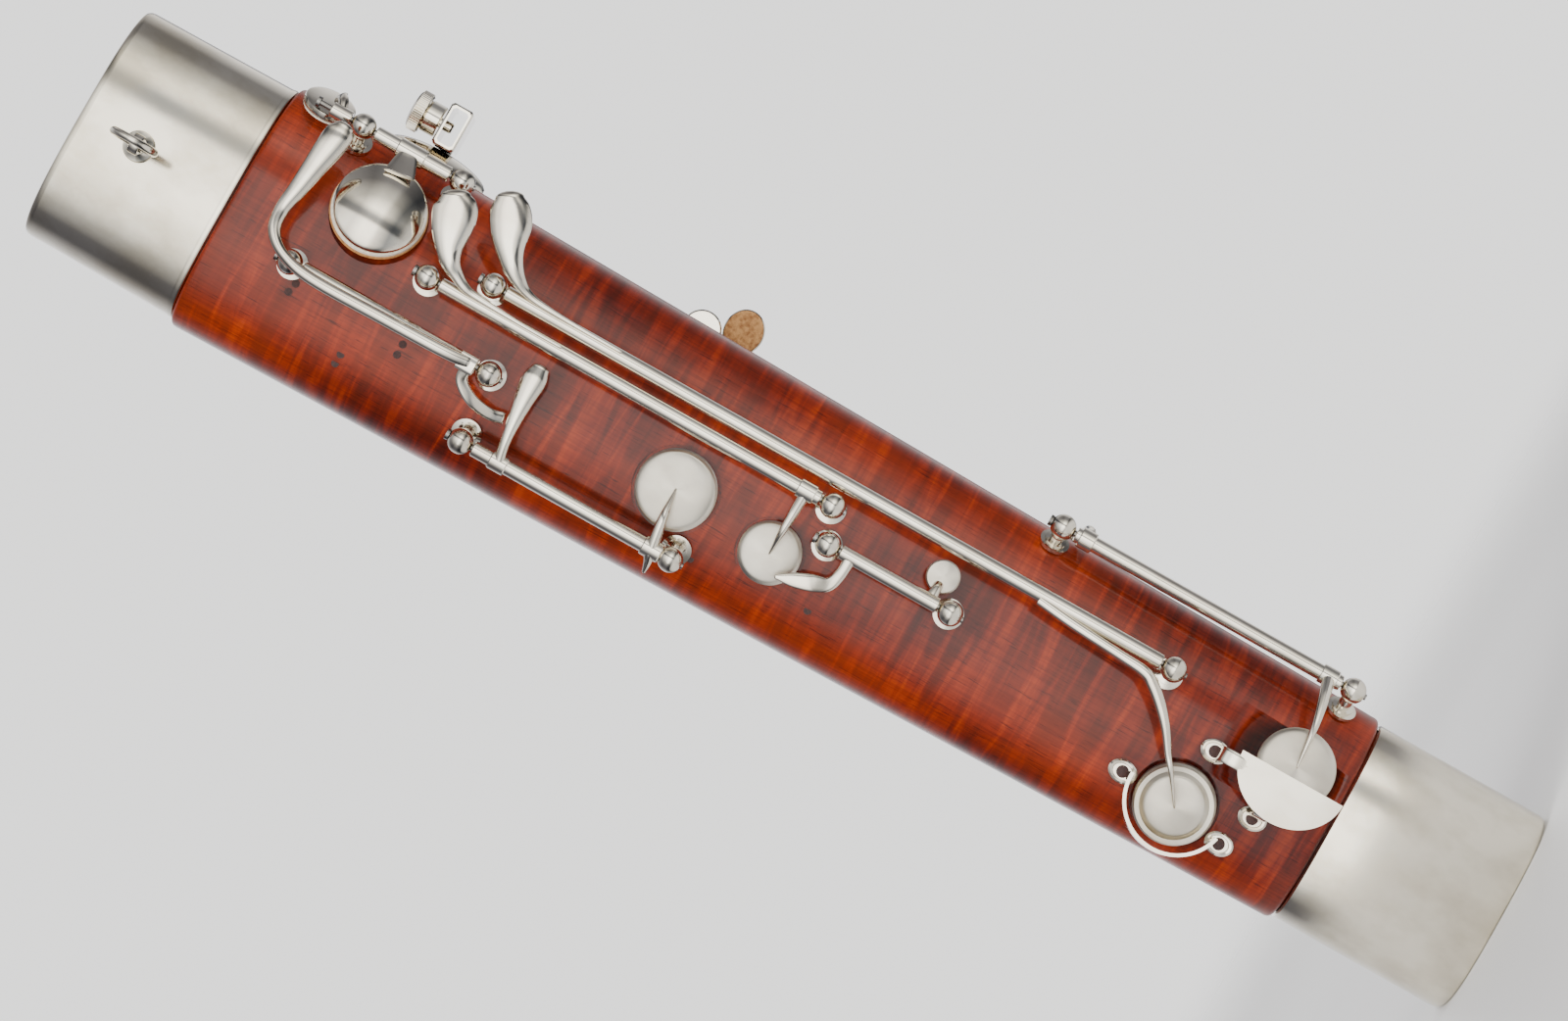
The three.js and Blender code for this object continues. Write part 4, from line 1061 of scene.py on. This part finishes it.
# %% F touch
def f_touch():
    hinge = hinges["f_touch"]
    x, y = hinge["x"], hinge["y"]
    arm = forged([(x, y + 0.6, 251), (27, y + 2, 253), (33, y - 1, 257), (37.5, y - 4, 259)],
                 [(2.4, 1.4), (2.5, 1.3), (2.6, 1.2), (2.8, 1.0)], up=(0, 1, 0))
    place, front, oval = (40.3, y - 5.6, 259.7), (0, 1, 0), (1.15, 1.0)
    rim = turned([(0, 1.0), (5.2, 1.0), (5.5, 0.6), (5.8, 1.0), (5.8, 2.1), (5.3, 2.5), (0, 2.6)],
                 place, front, 48, oval)
    facing = turned([(0, 1.1), (5.3, 1.1), (5.4, 0.4), (5.0, 0.05), (0, 0)], place, front, 48, oval)
    tail = forged([(x, y, 151), (29, y - 3, 151), (34.8, y - 10, 151), (35.9, y - 17, 151)], [(1.7, 1.1)] * 4,
                  up=(0.6, 0.8, 0))
    return [tube(hinge), collar(hinge, 251), collar(hinge, 151), (arm, polished), (rim, polished),
            (facing, cork), (tail, polished)]


piece("f_finger_touch", "f_touch", ["f_touch"], f_touch())

# %% [markdown]
# ## A flat touch
# A button on its crank meets the push rod, so the little finger and the thumb open the same pad.

# %% A flat touch
def a_flat_touch():
    hinge = hinges["a_flat_touch"]
    x, y = hinge["x"], hinge["y"]
    rod_x, _, rod_z = middle("push_rod")
    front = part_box("push_rod")[1][1] / MM
    arm = forged([(x, y + 0.6, 273), (20, y + 1.4, 273.4), (28, y - 2, 272), (33, y - 5.4, 271.2)],
                 [(2.4, 1.4), (2.4, 1.3), (2.4, 1.2), (2.6, 1.0)], up=(0, 1, 0))
    touch = turned([(0, 0), (5.1, 0), (5.6, 0.5), (5.5, 1.2), (4.6, 1.7), (0, 1.8)], (35.2, y - 8.4, 270.4),
                   (0, 1, 0), 48)
    crank = forged([(x, y, rod_z), (7, y + 0.6, rod_z), (rod_x, front + 2.1, rod_z)],
                   [(1.7, 1.3), (1.6, 1.2), (1.5, 1)], up=(0, 1, 0))
    button = turned([(0, 0), (2.3, 0), (2.6, 0.3), (2.6, 1.3), (2.2, 1.6), (0, 1.6)],
                    (rod_x, front + 0.3, rod_z), (0, 1, 0), 32)
    return [tube(hinge), collar(hinge, 273), collar(hinge, rod_z), (arm, polished), (touch, polished),
            (crank, polished), (button, polished)]


piece("a_flat_finger_touch", "a_flat_touch", ["a_flat_touch"], a_flat_touch())

# %% [markdown]
# ## Pad guards
# Two thin guards keep clothes off the low pads. Each is bent from sheet and held by lugs screwed to the
# wood; the screw sits in an oval recess.

# %% Pad guards
def lug(x, z):
    """A flat oval lug on the wood with a raised edge and a brown screw in its recess."""
    out = (0, -1, 0)
    place = (x, -face_depth(x, z), z)
    base = turned([(0, 0.3), (3.6, 0.3), (3.9, 0.6), (3.8, 1.3), (3.3, 1.6), (2.7, 1.5), (2.5, 1.0), (0, 1.0)],
                  place, out, 40, (0.85, 1.1))
    screw = turned([(0, 0.9), (1.8, 0.9), (1.7, 1.3), (1.0, 1.5), (0, 1.55)], place, out, 28)
    return [(base, polished), (screw, plug_wood)]


def arc_wall(centre, inner, outer, start, end, low, high):
    """A bowed sheet wall round a pad, from one angle to another."""
    rings = []
    for a in np.radians(np.linspace(start, end, 60)):
        way = np.array([math.cos(a), 0, math.sin(a)])
        section = [(inner, low), (outer, low), (outer + 0.1, (low + high) / 2), (outer, high), (inner, high),
                   (inner + 0.1, (low + high) / 2)]
        rings.append([np.array([centre[0], 0, centre[1]]) + way * r + np.array([0, y, 0]) for r, y in section])
    return skin(rings, ends=[np.mean(rings[0], axis=0), np.mean(rings[-1], axis=0)])


def f_sharp_guard():
    x, z = -16.5, 93.3
    wall = arc_wall((x, z), 14.0, 15.0, 86, 256, -28, -21.1)
    return [(wall, polished)] + lug(x, z + 16.5) + lug(x - 4.3, z - 16.1)


def low_f_guard():
    x, y, z = 4.1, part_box("low_f_pad_guard")[0][1] / MM, 70.0
    rings = []
    for a in np.radians(np.linspace(1, 179, 48)):
        reach = np.array([math.sin(a) * 13.6, 0, math.cos(a) * 15.4])
        edge = np.array([0, 0, math.cos(a) * 15.4])
        base = np.array([x, 0, z])
        rings.append([base - [reach[0], 0, -reach[2]] + [0, h, 0] for h in (y, y + 1.2)]
                     + [base + edge + [0, h, 0] for h in (y + 1.2, y)])
    plate = skin(rings, ends=[np.mean(rings[0], axis=0), np.mean(rings[-1], axis=0)])
    strap = forged([(0.6, y + 0.6, 82), (0.6, y + 0.7, 87.5), (0.6, y + 3, 89.4),
                    (0.6, -face_depth(0.6, 89) - 1, 89.6)], [(2.2, 0.6)] * 4, up=(0, -1, 0.4), power=4)
    side = forged([(-7.2, y + 0.7, 72.6), (-9.2, y + 2.4, 72.6), (-9.8, -face_depth(9.8, 72.6) - 1, 72.6)],
                  [(2.2, 0.6)] * 3, up=(-0.4, -1, 0), power=4)
    return [(plate, polished), (strap, polished), (side, polished)] + lug(0.6, 90.6) + lug(-10.4, 72.8)


piece("f_sharp_guard", "boot", ["f_sharp_pad_guard"], f_sharp_guard())
piece("low_f_guard", "boot", ["low_f_pad_guard"], low_f_guard())

# %% [markdown]
# ## Strap ring and hand rest
# The ring takes a strap's hook. The hand rest is a separate crutch: its flat bar goes through the block and
# the knurled screw clamps it, so a player sets it to the size of their hand.

# %% Strap ring and hand rest
def strap_mount():
    x, _, z = middle("strap_ring_mount")
    face = -24.5
    profile = [(0, 0), (4.2, 0), (4.4, 0.4), (4.2, 1.0), (3.2, 1.4), (2.4, 2.0), (2.0, 3.6), (2.6, 4.4),
               (0, 4.4)]
    base = turned(profile, (x, face, z), (0, -1, 0), 48)
    eye = turned([(1.75, -1.4), (2.8, -1.4), (2.95, -1.0), (2.95, 1.0), (2.8, 1.4), (1.75, 1.4)],
                 (x, -30.2, z), (0, 0, 1), 48)
    return [(base, polished), (eye, polished)]


def strap_ring():
    low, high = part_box("strap_ring")
    x, y, z = middle("strap_ring")
    radius = (high[1] - low[1]) / MM / 2
    wire = 1.15
    angle = np.linspace(0, 2 * np.pi, 16, endpoint=False)
    profile = [(radius - wire + wire * math.cos(a), wire * math.sin(a)) for a in angle]
    return [(turned(profile, (x, y, z), (1, 0, 0), 96), polished)]


def hand_rest_plate():
    z = middle("hand_rest_plate")[2]
    low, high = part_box("hand_rest_plate")
    reach = (high[2] - low[2]) / MM / 2
    outer = high[0] / MM
    rings = []
    for share in np.linspace(-0.985, 0.985, 33):
        level = z + share * reach
        half_width, half_depth = wood_size(level)
        span = 11.5 * math.sqrt(1 - share ** 2)
        height = (outer - half_width) * math.sqrt(1 - share ** 2)
        line, under = [], []
        for t in np.linspace(-1, 1, 21):
            y = 1 + t * span
            surface = half_width * (1 - abs(y / half_depth) ** SECTION_POWER) ** (1 / SECTION_POWER)
            line.append((surface + 0.3 + height * max(0.0, 1 - t * t) ** 0.8, y, level))
            under.insert(0, (surface + 0.08, y, level))
        rings.append(line + under)
    return [(skin(rings, ends=[np.mean(rings[0], axis=0), np.mean(rings[-1], axis=0)]), polished)]


def hand_rest_block():
    low, high = (np.array(v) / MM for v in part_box("hand_rest_socket"))
    x, y, z = middle("hand_rest_socket")
    half = (high - low) / 2
    bevel = 0.7

    def frame_ring(w, h, at):
        return [(x + sx * (w - cx), at, z + sz * (h - cz)) for sx, sz, cx, cz in (
            (1, 1, 0, bevel), (1, 1, bevel, 0), (-1, 1, bevel, 0), (-1, 1, 0, bevel),
            (-1, -1, 0, bevel), (-1, -1, bevel, 0), (1, -1, bevel, 0), (1, -1, 0, bevel))]

    wide, tall = half[0], half[2]
    rings = [frame_ring(wide - 0.5, tall - 0.5, y - half[1]), frame_ring(wide, tall, y - half[1] + 0.5),
             frame_ring(wide, tall, y + half[1] - 0.5), frame_ring(wide - 0.5, tall - 0.5, y + half[1]),
             frame_ring(5.3, 2.4, y + half[1]), frame_ring(5.3, 2.4, y - half[1])]
    return [(skin(rings, loop=True), polished)]


piece("strap_ring_screw_eye", "boot", ["strap_ring_mount"], strap_mount())
piece("strap_ring_wire", "strap_ring", ["strap_ring"], strap_ring())
piece("hand_rest_base_plate", "boot", ["hand_rest_plate"], hand_rest_plate())
piece("hand_rest_block", "boot", ["hand_rest_socket"], hand_rest_block())

# %% [markdown]
# ## Thumbscrew
# The head is knurled: fine teeth rolled into its rim for grip. The nodes set one tooth round the rim as
# many times as the count says.

# %% Thumbscrew
def knurl_nodes(numbers):
    tree, given = start_nodes("knurl", **numbers)
    ring = add(tree, "GeometryNodeMeshCircle", {"Vertices": given["Teeth"], "Radius": given["Rim radius"]})
    tooth = add(tree, "GeometryNodeMeshCylinder", {"Vertices": 5, "Radius": given["Tooth radius"],
                                                   "Depth": given["Tooth length"]})
    teeth = add(tree, "GeometryNodeInstanceOnPoints", {"Points": ring.outputs[0], "Instance": tooth.outputs[0]})
    lift = add(tree, "ShaderNodeCombineXYZ", {"X": given["X"], "Y": given["Y"], "Z": given["Z"]})
    raised = add(tree, "GeometryNodeTransform", {"Geometry": teeth.outputs[0], "Translation": lift.outputs[0]})
    both = tree.nodes.new("GeometryNodeJoinGeometry")
    for part in (given["Geometry"], raised.outputs[0]):
        tree.links.new(part, both.inputs[0])
    end_nodes(tree, both.outputs[0], polished)
    return tree


def make_thumbscrew():
    low, high = (np.array(v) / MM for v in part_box("hand_rest_screw"))
    x, y, _ = middle("hand_rest_screw")
    point, top = low[2], high[2]
    head = top - 4.6
    profile = [(0, point), (1.1, point), (1.5, point + 0.5)]
    profile += [(radius, head + rise) for radius, rise in (
        (1.5, -4.6), (4.2, -4.6), (4.6, -4.2), (4.6, -0.4), (4.2, 0), (5.2, 0), (5.7, 0.4), (5.7, 3.4),
        (5.2, 3.8), (4.4, 4.1), (3.6, 4.0), (0, 4.5))]
    mesh = mesh_of("hand_rest_thumbscrew", [(turned(profile, (x, y, 0), count=64), polished)])
    screw = show("hand_rest_thumbscrew", mesh)
    numbers = {"Teeth": 56, "Rim radius": 5.68 * MM, "Tooth radius": 0.3 * MM, "Tooth length": 2.8 * MM,
               "X": x * MM, "Y": y * MM, "Z": (head + 1.9) * MM}
    run_nodes(screw, knurl_nodes(numbers), numbers, SOFT_EDGE)
    settle(screw, "hand_rest_screw", ["hand_rest_screw"])


make_thumbscrew()

# %% [markdown]
# ## Old screw plugs
# Holes of posts that were moved are plugged with dark dowels, flush with the face.

# %% Old screw plugs
PLUGS = [(-11.5, 370.9), (-14.4, 371.6), (-22.2, 351), (-25, 351.2), (-11.6, 337.5), (-14.8, 337.5),
         (-23.8, 240.8), (-20.5, 206)]


def plug_nodes(numbers):
    tree, given = start_nodes("plugs", **numbers)
    dowel = add(tree, "GeometryNodeMeshCylinder", {"Vertices": 20, "Radius": given["Plug radius"],
                                                   "Depth": given["Plug depth"]})
    laid = add(tree, "GeometryNodeTransform", {"Geometry": dowel.outputs[0], "Rotation": (math.pi / 2, 0, 0)})
    rows = add(tree, "GeometryNodeInstanceOnPoints", {"Points": given["Geometry"], "Instance": laid.outputs[0]})
    end_nodes(tree, rows.outputs[0], plug_wood)
    return tree


plug_numbers = {"Plug radius": 1.1 * MM, "Plug depth": 0.5 * MM}
plug_points = [(x, -face_depth(x, z) + 0.1, z) for x, z in PLUGS]
plugs = grow("screw_plugs", plug_points, [], plug_nodes(plug_numbers), plug_numbers)
settle(plugs, "boot", [])

# %% [markdown]
# ## Floor
# A pale round floor that fades out before its edge, so that it ends without a line. It rides on no body
# and is not part of the boot joint.

# %% Floor
FLOOR_RADIUS, FLOOR_DEPTH = 640, 4
FADE = (250 * MM, 620 * MM)  # the floor is whole inside the first distance and gone at the second


def make_floor():
    material, tree, shader = finish("pale_floor")
    place = add(tree, "ShaderNodeTexCoord").outputs["Object"]
    far = add(tree, "ShaderNodeVectorMath", {0: place}, operation="LENGTH").outputs["Value"]
    mottle = add(tree, "ShaderNodeTexNoise", {"Vector": place, "Scale": 6.0, "Detail": 3.0})
    tint = stops(add(tree, "ShaderNodeValToRGB", {"Fac": mottle.outputs["Fac"]}),
                 [(0.3, "#efeeec"), (0.7, "#f4f3f1")])
    tree.links.new(tint, shader.inputs["Base Color"])
    shader.inputs["Roughness"].default_value = 0.6
    fade = add(tree, "ShaderNodeMapRange", {"Value": far, "From Min": FADE[0], "From Max": FADE[1],
                                            "To Min": 1.0, "To Max": 0.0}, interpolation_type="SMOOTHSTEP")
    tree.links.new(fade.outputs["Result"], shader.inputs["Alpha"])
    disc = turned([(0, -FLOOR_DEPTH), (FLOOR_RADIUS, -FLOOR_DEPTH), (FLOOR_RADIUS, 0), (0, 0)], count=96)
    mesh = mesh_of("floor", [(disc, material)])
    face_out(mesh)
    floor = show("floor", mesh)


make_floor()
print("floor radius:", FLOOR_RADIUS, "mm")

# %% [markdown]
# ## Soft room
# Polished metal shows the room round it. The light is strongest in front of the thumb side, and the bands
# across and up the walls give metal its white middles and dark edges. Each axis has its own bands, and
# they are multiplied. The camera itself sees a plain pale wall.

# %% Soft room
ROOM = {  # axis: where its bands start and end, and the brightness along them
    "Y": (1.0, -1.0, [(0.0, (0.50, 0.50, 0.52, 1)), (0.40, (0.10, 0.10, 0.11, 1)),
                      (0.64, (0.12, 0.12, 0.13, 1)), (0.82, (0.40, 0.40, 0.39, 1)),
                      (0.93, (0.95, 0.94, 0.91, 1)), (1.0, (1.0, 0.98, 0.94, 1))]),
    "X": (-1.0, 1.0, [(0.0, (0.3, 0.3, 0.32, 1)), (0.36, (0.75, 0.75, 0.75, 1)), (0.46, (1, 1, 1, 1)),
                      (0.585, (1, 1, 1, 1)), (0.615, (0.16, 0.165, 0.18, 1)), (0.67, (0.18, 0.19, 0.21, 1)),
                      (0.74, (0.9, 0.88, 0.84, 1)), (1.0, (0.6, 0.6, 0.6, 1))]),
    "Z": (-1.0, 1.0, [(0.0, (0.5, 0.5, 0.5, 1)), (0.30, (0.12, 0.13, 0.15, 1)), (0.42, (0.5, 0.5, 0.5, 1)),
                      (0.47, (1, 1, 1, 1)), (0.60, (1, 1, 1, 1)), (0.72, (0.55, 0.55, 0.56, 1)),
                      (1.0, (1, 1, 1, 1))]),
}


def make_world():
    world = bpy.data.worlds.new("soft_room")
    world.use_nodes = True
    tree = world.node_tree
    tree.nodes.clear()
    way = add(tree, "ShaderNodeTexCoord").outputs["Generated"]
    split = add(tree, "ShaderNodeSeparateXYZ", {"Vector": way})
    lit = None
    for axis, (start, end, bands) in ROOM.items():
        share = add(tree, "ShaderNodeMapRange", {"Value": split.outputs[axis], "From Min": start,
                                                 "From Max": end})
        wall = stops(add(tree, "ShaderNodeValToRGB", {"Fac": share.outputs["Result"]}), bands)
        lit = wall if lit is None else add(tree, "ShaderNodeMix", {"Factor": 1.0, 6: lit, 7: wall},
                                           data_type="RGBA", blend_type="MULTIPLY").outputs[2]
    room = add(tree, "ShaderNodeBackground", {"Color": lit, "Strength": 4.0})
    seen = add(tree, "ShaderNodeBackground", {"Color": (0.90, 0.895, 0.885, 1), "Strength": 1.9})
    choice = add(tree, "ShaderNodeMixShader", {0: add(tree, "ShaderNodeLightPath").outputs["Is Camera Ray"],
                                               1: room.outputs[0], 2: seen.outputs[0]})
    add(tree, "ShaderNodeOutputWorld", {"Surface": choice.outputs[0]})
    bpy.context.scene.world = world


make_world()
print("room bands:", {axis: len(bands) for axis, (_, _, bands) in ROOM.items()})

# %% [markdown]
# ## Lamps
# Three large soft lamps shape the wood. They don't show in the metal, so that its reflections are the
# room's alone.

# %% Lamps
LAMPS = {  # place and aim in metres, width in metres, power in watts
    "key_softbox": ((-0.75, -1.0, 0.85), (0, 0, 0.23), 0.7, 16),
    "side_softbox": ((1.0, -0.5, 0.35), (0, 0, 0.23), 0.5, 7),
    "back_softbox": ((0.2, 1.2, 0.9), (0, 0, 0.2), 0.8, 10),
}


def make_light(name, place, aim, size, power):
    data = bpy.data.lights.new(name, "AREA")
    data.shape, data.size, data.energy = "DISK", size, power
    lamp = bpy.data.objects.new(name, data)
    lamp.location = place
    lamp.visible_glossy = False
    lamp.rotation_euler = (Vector(aim) - Vector(place)).to_track_quat("-Z", "Y").to_euler()
    bpy.context.scene.collection.objects.link(lamp)


for lamp_name, settings in LAMPS.items():
    make_light(lamp_name, *settings)
print("lamps:", len(LAMPS))

# %% [markdown]
# ## Camera
# The camera stands in front of the thumb side at about mid height, and is rolled so that the joint
# lies across the picture with its cap end down to the right.

# %% Camera
LENS, SENSOR = 119.5, 36.0
CAMERA_PLACE = (-59.99, -1438.14, 220.09)
CAMERA_AHEAD = (0.04240, 0.99909, 0.00346)
CAMERA_ROLL = -60.57


def make_camera():
    data = bpy.data.cameras.new("viewing_angle")
    data.lens, data.sensor_width, data.clip_start = LENS, SENSOR, 0.05
    camera = bpy.data.objects.new("viewing_angle", data)
    ahead = Vector(CAMERA_AHEAD).normalized()
    level = ahead.cross(Vector((0, 0, 1))).normalized()
    upright = level.cross(ahead)
    roll = math.radians(CAMERA_ROLL)
    right = level * math.cos(roll) + upright * math.sin(roll)
    up = upright * math.cos(roll) - level * math.sin(roll)
    turn = Matrix((right, up, -ahead)).transposed().to_4x4()
    camera.matrix_world = Matrix.Translation(Vector(CAMERA_PLACE) * MM) @ turn
    bpy.context.scene.collection.objects.link(camera)
    bpy.context.scene.camera = camera


make_camera()
print("camera with a", LENS, "mm lens")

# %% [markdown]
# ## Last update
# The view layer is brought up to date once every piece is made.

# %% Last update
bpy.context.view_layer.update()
